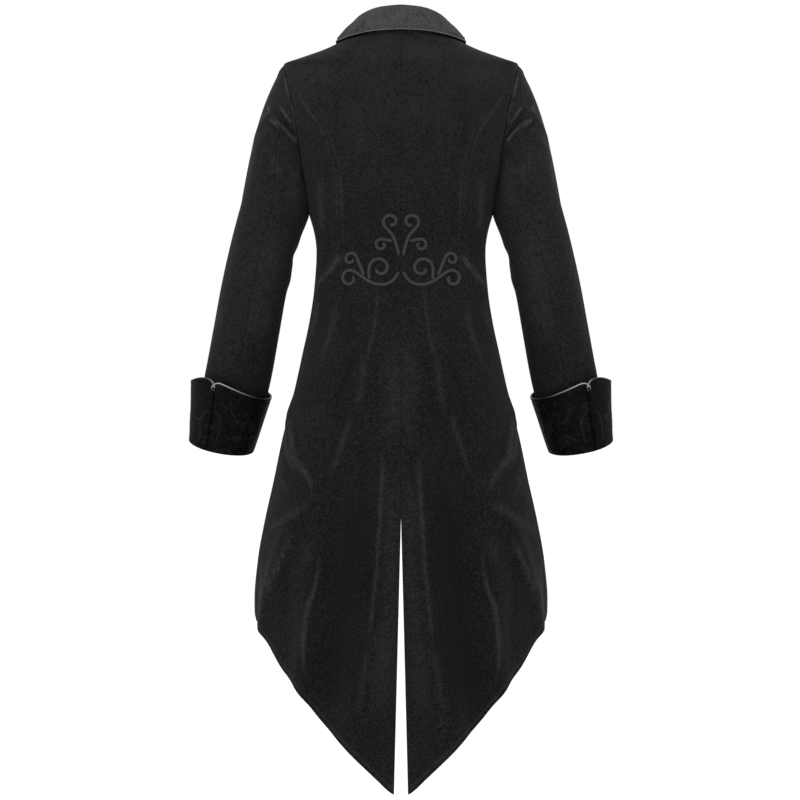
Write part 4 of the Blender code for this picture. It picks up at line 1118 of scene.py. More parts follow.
# Points this near each other, in metres, are one: those of the outline's two ends.
BUTTON_WELD = 0.00001

# A buttonhole: a long oval cut off flat at both ends
HOLE_MIDDLE = -9.0
HOLE_HALF_LENGTH = 9.5
HOLE_END_REACH = 13.0
HOLE_HALF_WIDTH = 1.9
HOLE_LIFT = 0.35
HOLE_POINTS = 64
THREAD_RADIUS = 0.75

# The rows and columns of the panels that are enough to find what the picture shows of them
COARSE = np.s_[::3, ::2]
COARSER = np.s_[::3, ::3]

# Heights at which the lines of the side change: the shoulder's tip, where the princess seam
# leaves the armhole, the armpit, where the waist seam meets the princess seam, and one below
# every hem.
SHOULDER_TIP_HEIGHT = -43.0
PRINCESS_TOP_HEIGHT = -80.0
ARMPIT_HEIGHT = -246.0
WAIST_HEIGHT = -333.0
HEM_FOOT = -2000.0


# Creases


def resampled(values, places):
    """Rows of an array at fractional places, on the same kind of curve as the tables."""
    values = np.asarray(values, dtype=float)
    flat = values.reshape(len(values), -1)
    step = np.diff(flat, axis=0)
    slope = np.zeros_like(flat)
    slope[0], slope[-1] = step[0], step[-1]
    if len(flat) > 2:
        slope[1:-1] = (flat[2:] - flat[:-2]) / 2
    index = np.clip(np.floor(places).astype(int), 0, len(flat) - 2)
    u = (np.asarray(places) - index)[:, None]
    made = flat[index] * (1 + 2 * u) * (1 - u) ** 2 + flat[index + 1] * u**2 * (3 - 2 * u)
    made = made + slope[index] * u * (1 - u) ** 2 + slope[index + 1] * u**2 * (u - 1)
    return made.reshape((len(index),) + values.shape[1:])


def dense_path(points, spacing=2.0, fineness=12):
    """A smooth path through a few points, evenly spaced."""
    points = np.asarray(points, dtype=float)
    fine = resampled(points, np.linspace(0, len(points) - 1, fineness * len(points)))
    run = np.concatenate([[0], np.cumsum(np.linalg.norm(np.diff(fine, axis=0), axis=1))])
    count = max(4, int(run[-1] / spacing))
    even = np.linspace(0, run[-1], count)
    return np.stack([np.interp(even, run, fine[:, axis]) for axis in range(3)], axis=-1)


# The camera's place, in millimetres, and half of the width that it sees at the sleeves' line
EYE = Vector((0.0, 5000.0, -579.2))
VIEW_HALF_WIDTH = 640.0


def as_seen(finder, path):
    """Places on the coat that the picture shows at these points of the sleeves' plane."""
    found = []
    for x, z in path:
        towards = (Vector((x, 0.0, z)) - EYE).normalized()
        place, _, _, _ = finder.ray_cast(EYE, towards)
        if place is not None:
            found.append(np.array(place))
    return found


def strokes_for(side, finder):
    """All creases of one side, each a path in space with its width, lift, light and ends."""
    rows = []
    for table in (SEEN, HIDDEN, ON_SLEEVE):
        for row in table:
            stroke = dict(zip(CREASE_COLUMNS, row))
            if stroke["side"] * side < 0:
                continue
            if table is SEEN:
                points = as_seen(finder, stroke["path"])
            elif table is HIDDEN:
                places = np.array(stroke["path"], dtype=float)
                points = list(outer_face(places[:, 0], places[:, 1])[0])
            else:
                points = [
                    ring_points(sleeve_frame(float(height)), np.array([around]))[0]
                    for around, height in stroke["path"]
                ]
            if len(points) > 1:
                rows.append((stroke, dense_path(points)))
    return rows


def crease(grid, strokes):
    """How far the creases lift each point of a grid, and how much painted highlight, or painted shade where
    below 0, lies there.
    """
    flat = grid.reshape(-1, 3)
    lift, light = np.zeros(len(flat)), np.zeros(len(flat))
    for stroke, path in strokes:
        reach = CREASE_REACH * stroke["width"]
        low, high = path.min(axis=0) - reach, path.max(axis=0) + reach
        near = np.nonzero(((flat > low) & (flat < high)).all(axis=1))[0]
        if not len(near):
            continue
        apart = np.linalg.norm(flat[near][:, None] - path[None], axis=2)
        nearest = apart.argmin(axis=1)
        away = apart[np.arange(len(near)), nearest] / stroke["width"]
        share = nearest / (len(path) - 1)
        along = ease(share, 0, stroke["run_in"]) * ease(1 - share, 0, stroke["run_out"])
        lift[near] += stroke["lift"] * along * np.exp(-np.abs(away) ** CREASE_LIFT_POWER)
        narrow = np.abs(away * CREASE_LIGHT_NARROWING)
        light[near] += stroke["light"] * along * np.exp(-narrow**CREASE_LIGHT_POWER)
    return lift.reshape(grid.shape[:2]), light.reshape(grid.shape[:2])


def run_along(grid, axis):
    step = np.linalg.norm(np.diff(grid, axis=axis), axis=-1)
    run = np.cumsum(step, axis=axis)
    pad = [(0, 0), (0, 0)]
    pad[axis] = (1, 0)
    return np.pad(run, pad)


def softened(grid, times):
    """A grid with its small unevenness across taken out, and its two side edges kept."""
    made = grid.copy()
    for _ in range(times):
        made[:, 1:-1] = (made[:, :-2] + 2 * made[:, 1:-1] + made[:, 2:]) / 4
    return made


def refined(coarse, step):
    """Places down a coarse grid for rows about this step apart."""
    rows = []
    for index in range(len(coarse) - 1):
        length = np.linalg.norm(coarse[index + 1] - coarse[index], axis=1).mean()
        count = max(2, int(round(length / step)))
        rows.extend(index + np.arange(count) / count)
    rows.append(len(coarse) - 1)
    return np.array(rows)


def from_edge(grid, edge):
    """Distance of each point of a grid from one of its edges, along the cloth."""
    axis = 1 if edge in ("near", "far") else 0
    run = run_along(grid, axis)
    if edge in ("near", "top"):
        return run
    total = run[:, -1:] if axis == 1 else run[-1:, :]
    return total - run


def pressed(away, look):
    """Lift, painted highlight and painted shade beside a pressed seam, by the distance from it."""
    light, depth, dark = look
    groove = -depth * hump(away, 0.0, SEAM_REACH)
    swell = depth * ridge(away, SEAM_SWELL)
    return groove + swell, light * hump(away, *SEAM_SHINE), dark * hump(away, 0.0, SEAM_SHADE_REACH)


# Meshes


def add_mesh(name, points, faces, kinds=None, values=None, mirror=False, weld=0.0):
    """A smooth mesh in metres from points in millimetres, facing outwards."""
    points = np.asarray(points) * MM
    if mirror:
        points = points * np.array((-1.0, 1.0, 1.0))
    mesh = bpy.data.meshes.new(name)
    mesh.from_pydata(points.tolist(), [], faces)
    if kinds is not None:
        mesh.polygons.foreach_set("material_index", kinds)
    for key, column in (values or {}).items():
        attribute = mesh.attributes.new(key, "FLOAT", "POINT")
        attribute.data.foreach_set("value", np.asarray(column, dtype=np.float32))
    work = bmesh.new()
    work.from_mesh(mesh)
    if weld:
        bmesh.ops.remove_doubles(work, verts=work.verts, dist=weld)
    bmesh.ops.recalc_face_normals(work, faces=work.faces)
    work.to_mesh(mesh)
    work.free()
    mesh.shade_smooth()
    thing = bpy.data.objects.new(name, mesh)
    bpy.context.scene.collection.objects.link(thing)
    return thing


def dressed(piece, materials, node=None):
    """Gives a piece its materials, hangs it on the root body and hides the solid that it stands for, if any.
    """
    for material in materials:
        piece.data.materials.append(material)
    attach(piece, "root")
    if node:
        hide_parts(node)
    return piece


def ring_faces(rings, sides, closed=False):
    """Faces from each ring of points to the next one and, if closed, from the last to the first."""
    faces = []
    for ring in range(rings if closed else rings - 1):
        here, there = ring * sides, (ring + 1) % rings * sides
        for corner in range(sides):
            other = (corner + 1) % sides
            faces.append((here + corner, here + other, there + other, there + corner))
    return faces


def end_faces(rings, sides):
    return [tuple(range(sides)), tuple(range((rings - 1) * sides, rings * sides))]


def boundary(rows, columns):
    rim = [(0, column) for column in range(columns)]
    rim += [(row, columns - 1) for row in range(1, rows)]
    rim += [(rows - 1, column) for column in range(columns - 2, -1, -1)]
    rim += [(row, 0) for row in range(rows - 2, 0, -1)]
    return rim


def add_cloth(name, outer, normals, thickness, materials, light, seam, node, mirror=False):
    """A closed shell of cloth with a rounded rim; the first material faces out, the second in."""
    rows, columns = outer.shape[:2]
    inner = outer - normals * thickness
    count = rows * columns
    rim = boundary(rows, columns)
    middle = []
    for row, column in rim:
        next_row = min(max(row, 1), rows - 2)
        next_column = min(max(column, 1), columns - 2)
        away = outer[row, column] - outer[next_row, next_column]
        away = away - (away * normals[row, column]).sum() * normals[row, column]
        away = away / max(np.linalg.norm(away), TINY)
        middle.append((outer[row, column] + inner[row, column]) / 2 + away * thickness * RIM_ROUND)
    points = np.concatenate([outer.reshape(-1, 3), inner.reshape(-1, 3), np.array(middle)])
    faces, kinds = [], []
    for kind, first in enumerate((0, count)):
        for row in range(rows - 1):
            for column in range(columns - 1):
                a = first + row * columns + column
                round_it = (a + 1, a + columns + 1, a + columns)
                faces.append((a, *(round_it[::-1] if kind else round_it)))
                kinds.append(kind)
    for index in range(len(rim)):
        there = (index + 1) % len(rim)
        a = rim[index][0] * columns + rim[index][1]
        b = rim[there][0] * columns + rim[there][1]
        faces.append((a, 2 * count + index, 2 * count + there, b))
        faces.append((2 * count + index, a + count, b + count, 2 * count + there))
        kinds.extend((0, 0))
    blank = np.zeros((rows, columns))
    values = {}
    # The light attribute carries painted highlight and painted shade, and the seam attribute painted shade.
    for key, grid in (("light", light), ("seam", seam)):
        edge = [grid[place] for place in rim]
        values[key] = np.concatenate([grid.ravel(), blank.ravel(), edge])
    return dressed(add_mesh(name, points, faces, kinds, values, mirror), materials, node)


def add_tube(name, path, radius, material, mirror=False, sides=10, closed=False, light=None):
    """A round cord along a path, either closed or with flat, slimmer ends."""
    path = np.asarray(path, dtype=float)
    if closed:
        run = unit(np.roll(path, -1, axis=0) - np.roll(path, 1, axis=0))
    else:
        run = unit(np.gradient(path, axis=0))
    up = np.array((0.0, 0.0, 1.0))
    rings = []
    for index in range(len(path)):
        side = np.cross(run[index], up)
        if np.linalg.norm(side) < TUBE_UPRIGHT:
            side = np.cross(run[index], np.array((0.0, 1.0, 0.0)))
        side = side / np.linalg.norm(side)
        over = np.cross(side, run[index])
        turn = np.arange(sides) * 2 * np.pi / sides
        slim = TUBE_END if not closed and index in (0, len(path) - 1) else 1.0
        ring = np.cos(turn)[:, None] * side + np.sin(turn)[:, None] * over
        rings.append(path[index] + ring * radius * slim)
    faces = ring_faces(len(path), sides, closed)
    if not closed:
        faces += end_faces(len(path), sides)
    values = None if light is None else {"light": np.repeat(light, sides)}
    piece = add_mesh(name, np.concatenate(rings), faces, values=values, mirror=mirror)
    return dressed(piece, (material,))


# Materials


def nodes_of(name):
    """A new material, its node tree, its shader and the object's own coordinates."""
    material = bpy.data.materials.new(name)
    material.use_nodes = True
    tree = material.node_tree
    place = tree.nodes.new("ShaderNodeTexCoord").outputs["Object"]
    return material, tree, tree.nodes["Principled BSDF"], place


def set_inputs(node, values):
    for key, value in values.items():
        node.inputs[key].default_value = value


def noise(tree, source, scale, detail, roughness=0.55, distortion=0.0):
    node = tree.nodes.new("ShaderNodeTexNoise")
    set_inputs(node, {"Scale": scale, "Detail": detail, "Roughness": roughness, "Distortion": distortion})
    tree.links.new(source, node.inputs["Vector"])
    return node.outputs["Fac"]


def arithmetic(tree, kind, first, second):
    node = tree.nodes.new("ShaderNodeMath")
    node.operation = kind
    for socket, value in zip(node.inputs, (first, second)):
        if isinstance(value, (int, float)):
            socket.default_value = value
        else:
            tree.links.new(value, socket)
    return node.outputs[0]


def ranged(tree, value, low, high, to_low, to_high):
    node = tree.nodes.new("ShaderNodeMapRange")
    tree.links.new(value, node.inputs["Value"])
    set_inputs(node, {"From Min": low, "From Max": high, "To Min": to_low, "To Max": to_high})
    return node.outputs["Result"]


# The mix node's sockets for its two colours and its result
MIX_COLOURS = (6, 7)
MIX_RESULT = 2


def mixed(tree, share, first, second):
    node = tree.nodes.new("ShaderNodeMix")
    node.data_type = "RGBA"
    tree.links.new(share, node.inputs["Factor"])
    for index, value in zip(MIX_COLOURS, (first, second)):
        if isinstance(value, tuple):
            node.inputs[index].default_value = (*value, 1.0)
        else:
            tree.links.new(value, node.inputs[index])
    return node.outputs[MIX_RESULT]


def bumped(tree, shader, height, bump, after=None):
    node = tree.nodes.new("ShaderNodeBump")
    set_inputs(node, dict(zip(("Strength", "Distance"), bump)))
    tree.links.new(height, node.inputs["Height"])
    if after is not None:
        tree.links.new(after, node.inputs["Normal"])
    tree.links.new(node.outputs["Normal"], shader.inputs["Normal"])
    return node.outputs["Normal"]


def attribute(tree, name):
    node = tree.nodes.new("ShaderNodeAttribute")
    node.attribute_name = name
    return node.outputs["Fac"]


# The materials' noises: scale, detail, roughness and distortion
NOISES = {
    "pile": (340.0, 3.0, 0.7),
    "patches": (110.0, 3.0, 0.6),
    "broad": (9.0, 3.0, 0.5, 0.6),
    "clouds": (48.0, 4.0, 0.6),
    "crushed": (34.0, 5.0, 0.62, 1.4),
    "wisps": (26.0, 2.0, 0.5, 1.8),
    "woven": (30.0, 3.0),
    "braid": (70.0, 3.0),
    "metal": (180.0, 4.0),
    "metal_grain": (500.0, 2.0),
    "floor": (1.5, 2.0),
}
# How the materials read a noise, an attribute or a height in metres: the two values that it runs
# between, and what each of them counts for. The pile is painted lighter upwards, as painted light
# from above, and more so in clouds on the yoke.
READINGS = {
    "whole": (0.0, 1.0, 0.0, 1.0),
    "grain": (0.32, 0.68, -0.8, 0.8),
    "patches": (0.3, 0.7, 0.17, 0.47),
    "broad": (0.35, 0.65, -0.07, 0.15),
    "painted_top_light": (-0.62, -0.02, 0.0, 0.32),
    "painted_yoke_light": (-0.16, -0.02, 0.0, 0.5),
    "clouds": (0.42, 0.62, 0.0, 1.0),
    "crest_patches": (0.35, 0.65, 0.6, 1.1),
    "crest_grain": (0.32, 0.68, 0.6, 1.2),
    "crest": (0.0, 1.8, 0.0, 1.0),
    "hollow": (-1.4, 0.0, 1.0, 0.0),
    "groove": (0.0, 1.0, 0.0, 0.85),
    "wisp_lines": (0.0, 0.035, 0.55, 0.0),
    "wisp_patches": (0.42, 0.6, 0.0, 1.0),
    "plait": (0.2, 0.8, 0.0, 1.0),
    "metal_gloss": (0.3, 0.7, 0.28, 0.46),
}
# Bumps: their strength and their depth in metres
BUMPS = {
    "patches": (0.22, 0.0016),
    "pile": (0.3, 0.0008),
    "crushed_pile": (0.22, 0.0007),
    "ribs": (0.25, 0.0004),
    "plait": (0.4, 0.0004),
    "metal": (0.08, 0.0003),
}
CRUSH_DEPTH = 0.004
# The lines of the wisps run where their noise is at its middle.
WISP_MIDDLE = 0.5
# How much the ribs, the plait and the clouds over them count in their cloths' mixes
RIB_SHARE = 0.5
PLAIT_SHARE = 0.6
CLOUD_SHARE = 0.5
# How dark the painted shade in hollows and seams is, as shares of the velvet's darkest colour
HOLLOW_SHARE = 0.25
GROOVE_SHARE = 0.3
CRUSHED_GROOVE_SHARE = 0.1


def pile_velvet(
    name, dark, pale, shine, roughness, sheen, sheen_roughness, tint, mottle=1.0, crush=0.0, specular=0.06
):
    """Velvet: fine mottled pile, broad brushed patches, painted light that grows upwards, painted highlight
    on crests and beside seams, and painted shade in hollows and seams.
    """
    material, tree, shader, place = nodes_of(name)

    def nap(key):
        return noise(tree, place, *NOISES[key])

    def read(value, key):
        return ranged(tree, value, *READINGS[key])

    pile, patches = nap("pile"), nap("patches")
    low, high, dull, bright = READINGS["grain"]
    grain = ranged(tree, pile, low, high, dull * mottle, bright * mottle)
    share = arithmetic(tree, "ADD", grain, read(patches, "patches"))
    share = arithmetic(tree, "ADD", share, read(nap("broad"), "broad"))
    # Painted light: lighter towards the top, and in clouds on the yoke.
    height = tree.nodes.new("ShaderNodeSeparateXYZ")
    tree.links.new(place, height.inputs["Vector"])
    painted_top_light = read(height.outputs["Z"], "painted_top_light")
    painted_top_light.node.interpolation_type = "SMOOTHSTEP"
    share = arithmetic(tree, "ADD", share, painted_top_light)
    painted_yoke_light = arithmetic(tree, "MULTIPLY", read(height.outputs["Z"], "painted_yoke_light"), read(nap("clouds"), "clouds"))
    share = arithmetic(tree, "ADD", share, painted_yoke_light)
    colour = mixed(tree, read(share, "whole"), dark, pale)
    # The light attribute gives painted highlight on crests and beside seams, and painted shade in hollows
    # where it is below 0.
    crest = arithmetic(tree, "MULTIPLY", attribute(tree, "light"), read(patches, "crest_patches"))
    crest = arithmetic(tree, "MULTIPLY", crest, read(pile, "crest_grain"))
    colour = mixed(tree, read(crest, "crest"), colour, shine)
    colour = mixed(tree, read(crest, "hollow"), colour, tuple(HOLLOW_SHARE * part for part in dark))
    # The seam attribute gives painted shade in grooves, at stitching, on the collar's roll and in the cuff's
    # slit.
    groove = read(attribute(tree, "seam"), "groove")
    colour = mixed(tree, groove, colour, tuple(GROOVE_SHARE * part for part in dark))
    if crush:
        # Painted highlights along the crushed pile's crinkles
        wisps = arithmetic(tree, "SUBTRACT", nap("wisps"), WISP_MIDDLE)
        wisps = read(arithmetic(tree, "ABSOLUTE", wisps, 0.0), "wisp_lines")
        wisps = arithmetic(tree, "MULTIPLY", wisps, read(patches, "wisp_patches"))
        colour = mixed(tree, wisps, colour, shine)
        colour = mixed(tree, groove, colour, tuple(CRUSHED_GROOVE_SHARE * part for part in dark))
        first = bumped(tree, shader, nap("crushed"), (crush, CRUSH_DEPTH))
        bumped(tree, shader, pile, BUMPS["crushed_pile"], first)
    else:
        first = bumped(tree, shader, patches, BUMPS["patches"])
        bumped(tree, shader, pile, BUMPS["pile"], first)
    tree.links.new(colour, shader.inputs["Base Color"])
    set_inputs(shader, {
        "Roughness": roughness, "Specular IOR Level": specular, "Sheen Weight": sheen,
        "Sheen Roughness": sheen_roughness, "Sheen Tint": (*tint, 1.0),
    })
    return material


def woven_back():
    """The plain woven back of the velvet, which shows inside the coat."""
    material, tree, shader, place = nodes_of("velvet_back")
    ribs = tree.nodes.new("ShaderNodeTexWave")
    ribs.wave_type = "BANDS"
    ribs.bands_direction = "DIAGONAL"
    set_inputs(ribs, {"Scale": 260.0, "Distortion": 0.6})
    tree.links.new(place, ribs.inputs["Vector"])
    cloudy = noise(tree, place, *NOISES["woven"])
    ribbed = arithmetic(tree, "MULTIPLY", ribs.outputs["Fac"], RIB_SHARE)
    share = arithmetic(tree, "ADD", ribbed, arithmetic(tree, "MULTIPLY", cloudy, CLOUD_SHARE))
    colour = mixed(tree, share, (0.010, 0.010, 0.011), (0.026, 0.026, 0.028))
    tree.links.new(colour, shader.inputs["Base Color"])
    set_inputs(shader, {"Roughness": 0.75, "Specular IOR Level": 0.3})
    bumped(tree, shader, ribs.outputs["Fac"], BUMPS["ribs"])
    return material


def braid_cloth(name, dark, pale, roughness, shine=None, scale=900.0):
    """Satin braid or piping, with fine plaited threads, and a painted highlight where its light is high."""
    material, tree, shader, place = nodes_of(name)
    plait = tree.nodes.new("ShaderNodeTexVoronoi")
    plait.inputs["Scale"].default_value = scale
    tree.links.new(place, plait.inputs["Vector"])
    patches = noise(tree, place, *NOISES["braid"])
    plaited = arithmetic(tree, "MULTIPLY", plait.outputs["Distance"], PLAIT_SHARE)
    share = arithmetic(tree, "ADD", plaited, arithmetic(tree, "MULTIPLY", patches, CLOUD_SHARE))
    colour = mixed(tree, ranged(tree, share, *READINGS["plait"]), dark, pale)
    if shine:
        colour = mixed(tree, ranged(tree, attribute(tree, "light"), *READINGS["whole"]), colour, shine)
    tree.links.new(colour, shader.inputs["Base Color"])
    set_inputs(shader, {"Roughness": roughness, "Specular IOR Level": 0.4})
    bumped(tree, shader, plait.outputs["Distance"], BUMPS["plait"])
    return material


def gunmetal():
    """Dark cast metal, unevenly dull."""
    material, tree, shader, place = nodes_of("gunmetal")
    cloudy = noise(tree, place, *NOISES["metal"])
    colour = mixed(tree, cloudy, (0.05, 0.05, 0.055), (0.16, 0.155, 0.15))
    tree.links.new(colour, shader.inputs["Base Color"])
    tree.links.new(ranged(tree, cloudy, *READINGS["metal_gloss"]), shader.inputs["Roughness"])
    shader.inputs["Metallic"].default_value = 1.0
    bumped(tree, shader, noise(tree, place, *NOISES["metal_grain"]), BUMPS["metal"])
    return material


# The coat


def shaped(face, strokes, seams_of, hem=True):
    """A panel's outer grid with its creases and pressed seams, and what its material reads."""
    points, normals = face
    lift, light = crease(points, strokes)
    seam = np.zeros(points.shape[:2])
    if hem:
        up = from_edge(points, "foot")
        # A band of painted highlight along the hem
        light = light + ridge(up, HEM_SHINE)
        lift = lift + ridge(up, HEM_STITCH)
    for edge, look, share in seams_of:
        away = from_edge(points, edge)
        groove, shine, shade = pressed(away, look)
        lift = lift * (1 - hump(away, 0.0, SEAM_CALM) * share) + groove * share
        light = light + shine * share
        seam = np.maximum(seam, shade * share)
    return points + normals * lift[..., None], normals, light, seam


def looks_by_height(heights, *kinds):
    """The seam looks of an edge that changes its kind: each kind and the height it runs down to."""
    looks = np.zeros((3,) + heights.shape)
    for kind, foot in reversed(kinds):
        for row, number in enumerate(SEAM_LOOKS[kind]):
            looks[row] = np.where(heights > foot, number, looks[row])
    return looks


def dimmed(kind, share):
    """A kind of seam with only a share of its painted highlight."""
    light, depth, dark = SEAM_LOOKS[kind]
    return share * light, depth, dark


def body_pieces(lines, strokes):
    """The left half's panels, each a grid, normals, shine and shade."""
    back = back_face(lines)
    height = back[0][..., 2]
    closed = ease(height, *VENT_CLOSES)
    beside = looks_by_height(
        height, ("shoulder", SHOULDER_TIP_HEIGHT), ("armhole", PRINCESS_TOP_HEIGHT),
        ("princess", WAIST_HEIGHT), ("princess_skirt", HEM_FOOT),
    )
    made = {
        "back": shaped(
            back, strokes, (("near", SEAM_LOOKS["centre_back"], closed), ("far", beside, 1.0))
        )
    }
    side_back = side_back_face(lines)
    armhole = looks_by_height(side_back[0][..., 2], ("armhole", ARMPIT_HEIGHT), ("side", HEM_FOOT))
    made["side_back"] = shaped(
        side_back,
        strokes,
        (
            ("near", dimmed("princess", PRINCESS_SIDE_SHINE), 1.0),
            ("far", armhole, 1.0),
            ("foot", SEAM_LOOKS["waist"], 1.0),
        ),
        hem=False,
    )
    made["side_skirt"] = shaped(
        side_skirt_face(lines),
        strokes,
        (
            ("near", SEAM_LOOKS["princess_skirt"], 1.0),
            ("far", SEAM_LOOKS["side"], 1.0),
            ("top", dimmed("waist", WAIST_SKIRT_SHINE), 1.0),
        ),
    )
    return made


def front_piece(lines, strokes, over):
    """A front, lifted along its lap where it lies over the other one."""
    face = outer_face(*front_angles(lines))
    across, height = face[0][..., 0], face[0][..., 2]
    lift = LAP_LIFT * (1 - ease(across, LAP_FLAT_TO, LAP_SETTLED)) if over else 0 * height
    beside = looks_by_height(
        height, ("shoulder", SHOULDER_TIP_HEIGHT), ("armhole", ARMPIT_HEIGHT), ("side", HEM_FOOT)
    )
    points, normals, light, seam = shaped(face, strokes, (("far", beside, 1.0),))
    return points + normals * lift[..., None], normals, light, seam


def sleeve_piece(lines, strokes, first, count):
    """A sleeve's upper or under part, by its first column and how many there are."""
    grid, normals = sleeve_grid(lines)
    _, body_normals = armhole_ring(lines)
    wanted = np.arange(first, first + count + 1) % RING
    grid, normals, at_body = grid[:, wanted], normals[:, wanted], body_normals[wanted]
    from_armhole = from_edge(grid, "top")
    own = ease(from_armhole, *SLEEVE_TURNS_OWN)[..., None]
    normals = unit(at_body[None] * (1 - own) + normals * own)
    lift, light = crease(grid, strokes)
    # Painted light over the whole sleeve
    light = light + SLEEVE_LIGHT
    _, depth, dark = SEAM_LOOKS["armhole"]
    around = np.radians(wanted * 360 / RING)
    upper = np.clip(np.cos(around), 0, 1)[None]
    look = (ARMHOLE_SLEEVE_LIGHT, depth * (1 - CAP_DEPTH_LOSS * upper), dark)
    groove, shine, seam = pressed(from_armhole, look)
    lift = lift * ease(from_armhole, *SLEEVE_CREASE_FROM) + groove + upper * ridge(from_armhole, CAP_EASE)
    light = light + shine
    inside = ease(from_armhole, *SLEEVE_SEAM_FROM)
    for edge in ("near", "far"):
        groove, shine, shade = pressed(from_edge(grid, edge), SEAM_LOOKS["sleeve"])
        lift = lift + groove * inside
        light = light + shine
        seam = np.maximum(seam, shade * inside)
    return grid + normals * lift[..., None], normals, light, seam


def cuff_middle():
    """The cuff's middle grid at a fine step."""
    coarse = cuff_grid()
    return resampled(coarse, refined(coarse, CUFF_ROW_STEP))


def at_place(grid, row, column):
    """A point of a grid between its rows and columns."""
    r, c = min(int(row), grid.shape[0] - 2), min(int(column), grid.shape[1] - 2)
    u, v = row - r, column - c
    upper = grid[r, c] * (1 - v) + grid[r, c + 1] * v
    lower = grid[r + 1, c] * (1 - v) + grid[r + 1, c + 1] * v
    return upper * (1 - u) + lower * u


def cuff_strokes(grid):
    """The scrolls pressed into the cuff, as creases on its outer face."""
    rows = []
    up = run_along(grid, 0).mean(axis=1)
    up = up - up[int(np.searchsorted(up, CUFF_FOLD_RUN))]
    across = run_along(grid, 1)[grid.shape[0] // 2]
    for start, height, headings in CUFF_SCROLLS:
        x, z = scroll_path(start, height, headings)
        x = np.where(x < 0, x + across[-1], x)
        inside = (z > CUFF_SCROLL_MARGIN) & (z < up[-1] - CUFF_SCROLL_TOP_MARGIN)
        inside &= (x > CUFF_SCROLL_MARGIN) & (x < across[-1] - CUFF_SCROLL_MARGIN)
        down_it = np.interp(z[inside], up, np.arange(len(up)))
        round_it = np.interp(x[inside], across, np.arange(len(across)))
        points = [at_place(grid, row, column) for row, column in zip(down_it, round_it)]
        if len(points) >= CUFF_SCROLL_LEAST_POINTS:
            rows.append((CUFF_STROKE, np.array(points)))
    return rows


def cuff_pieces(materials, piping, side):
    """One cuff's double cloth, and the piping along its top and into its slit."""
    mirror = side == "right"
    middle = cuff_middle()
    normals = -grid_normals(middle, closed=False)
    outer = middle + normals * TURNED_CLOTH / 2
    lift, light = crease(outer, cuff_strokes(outer))
    from_top = from_edge(outer, "foot")
    beside_slit = np.minimum(from_edge(outer, "near"), from_edge(outer, "far"))
    edge = np.minimum(from_top, beside_slit)
    up = from_edge(outer, "top")
    inside = ease(edge, *CUFF_CREASE_FROM)
    rolled_in = CUFF_SLIT_ROLL * hump(beside_slit, 0.0, CUFF_SLIT_REACH) * ease(up, *CUFF_ROLL_FROM)
    lift = lift * inside + ridge(edge, CUFF_STITCH) * ease(up, *CUFF_STITCH_FROM) - rolled_in
    # Painted shade in the slit, through the seam attribute
    shade = ridge(beside_slit, CUFF_SLIT_SHADE) * ease(from_top, *CUFF_SHADE_FROM)
    cuff = add_cloth(
        f"cuff_cloth_{side}", outer + normals * lift[..., None], normals, TURNED_CLOTH, materials,
        light * inside, shade, f"cuff_{side}", mirror,
    )
    down = from_edge(middle, "foot")[:, 0]
    start = int(np.nonzero(down > CUFF_PIPING_TURN)[0][-1])
    seat_of = middle - normals * rolled_in[..., None]
    path = np.concatenate([seat_of[start:, 0], seat_of[-1, 1:-1], seat_of[start:, -1][::-1]])
    from_slit = run_along(path[None], 1)[0]
    # A painted highlight on the piping, strongest beside the slit
    shine = 0
    for away, fade in zip((from_slit, from_slit[-1] - from_slit), CUFF_PIPING_FADES):
        fading = 1 - ease(away, CUFF_PIPING_HOLD * fade, fade)
        shine = shine + ease(away, *CUFF_PIPING_SHINES_FROM) * fading
    edging = add_tube(
        f"cuff_piping_{side}", path, CUFF_PIPING_RADIUS, piping, mirror, light=shine
    )


def collar_pieces(lines, materials, piping):
    """The collar's double cloth, and the piping along its edge."""
    half = [collar_profile(*station) for station in neck_stations(lines)]
    mirrored = [profile * np.array((-1.0, 1.0, 1.0)) for profile in half[:0:-1]]
    coarse = np.array(mirrored + half).transpose(1, 0, 2)
    rows = refined(coarse, COLLAR_ROW_STEP)
    top = int(np.searchsorted(rows, COLLAR_TOP_ROW))
    middle = softened(resampled(coarse, rows), COLLAR_SOFTENING)
    normals = grid_normals(middle, closed=False)
    outer = middle + normals * COLLAR_CLOTH / 2
    from_foot = from_edge(outer, "foot")
    ends = np.minimum(from_edge(outer, "near"), from_edge(outer, "far"))
    edge = np.minimum(from_foot, ends)
    run = run_along(outer, 0)
    fallen = ease(run, *COLLAR_FALLS)
    roll = ridge(run - run[top], COLLAR_ROLL_LINE)
    turned_in = ease(outer[..., 1], *COLLAR_BEHIND) * ridge(from_foot, COLLAR_TURN)
    lift = (ridge(edge, COLLAR_STITCH) + ridge(edge, COLLAR_EDGE_SWELL)) * fallen - roll - turned_in
    # Painted highlight along the edge, and painted shade at the stitching and the roll line
    collar = add_cloth(
        "collar_cloth", outer + normals * lift[..., None], normals, COLLAR_CLOTH, materials,
        ridge(edge, COLLAR_EDGE_SHINE) * fallen, ridge(edge, COLLAR_STITCH_SHADE) * fallen + roll,
        "collar",
    )
    path = middle[-1] - normals[-1] * turned_in[-1][:, None]
    edging = add_tube("collar_piping", path[::2], PIPING_RADIUS, piping)


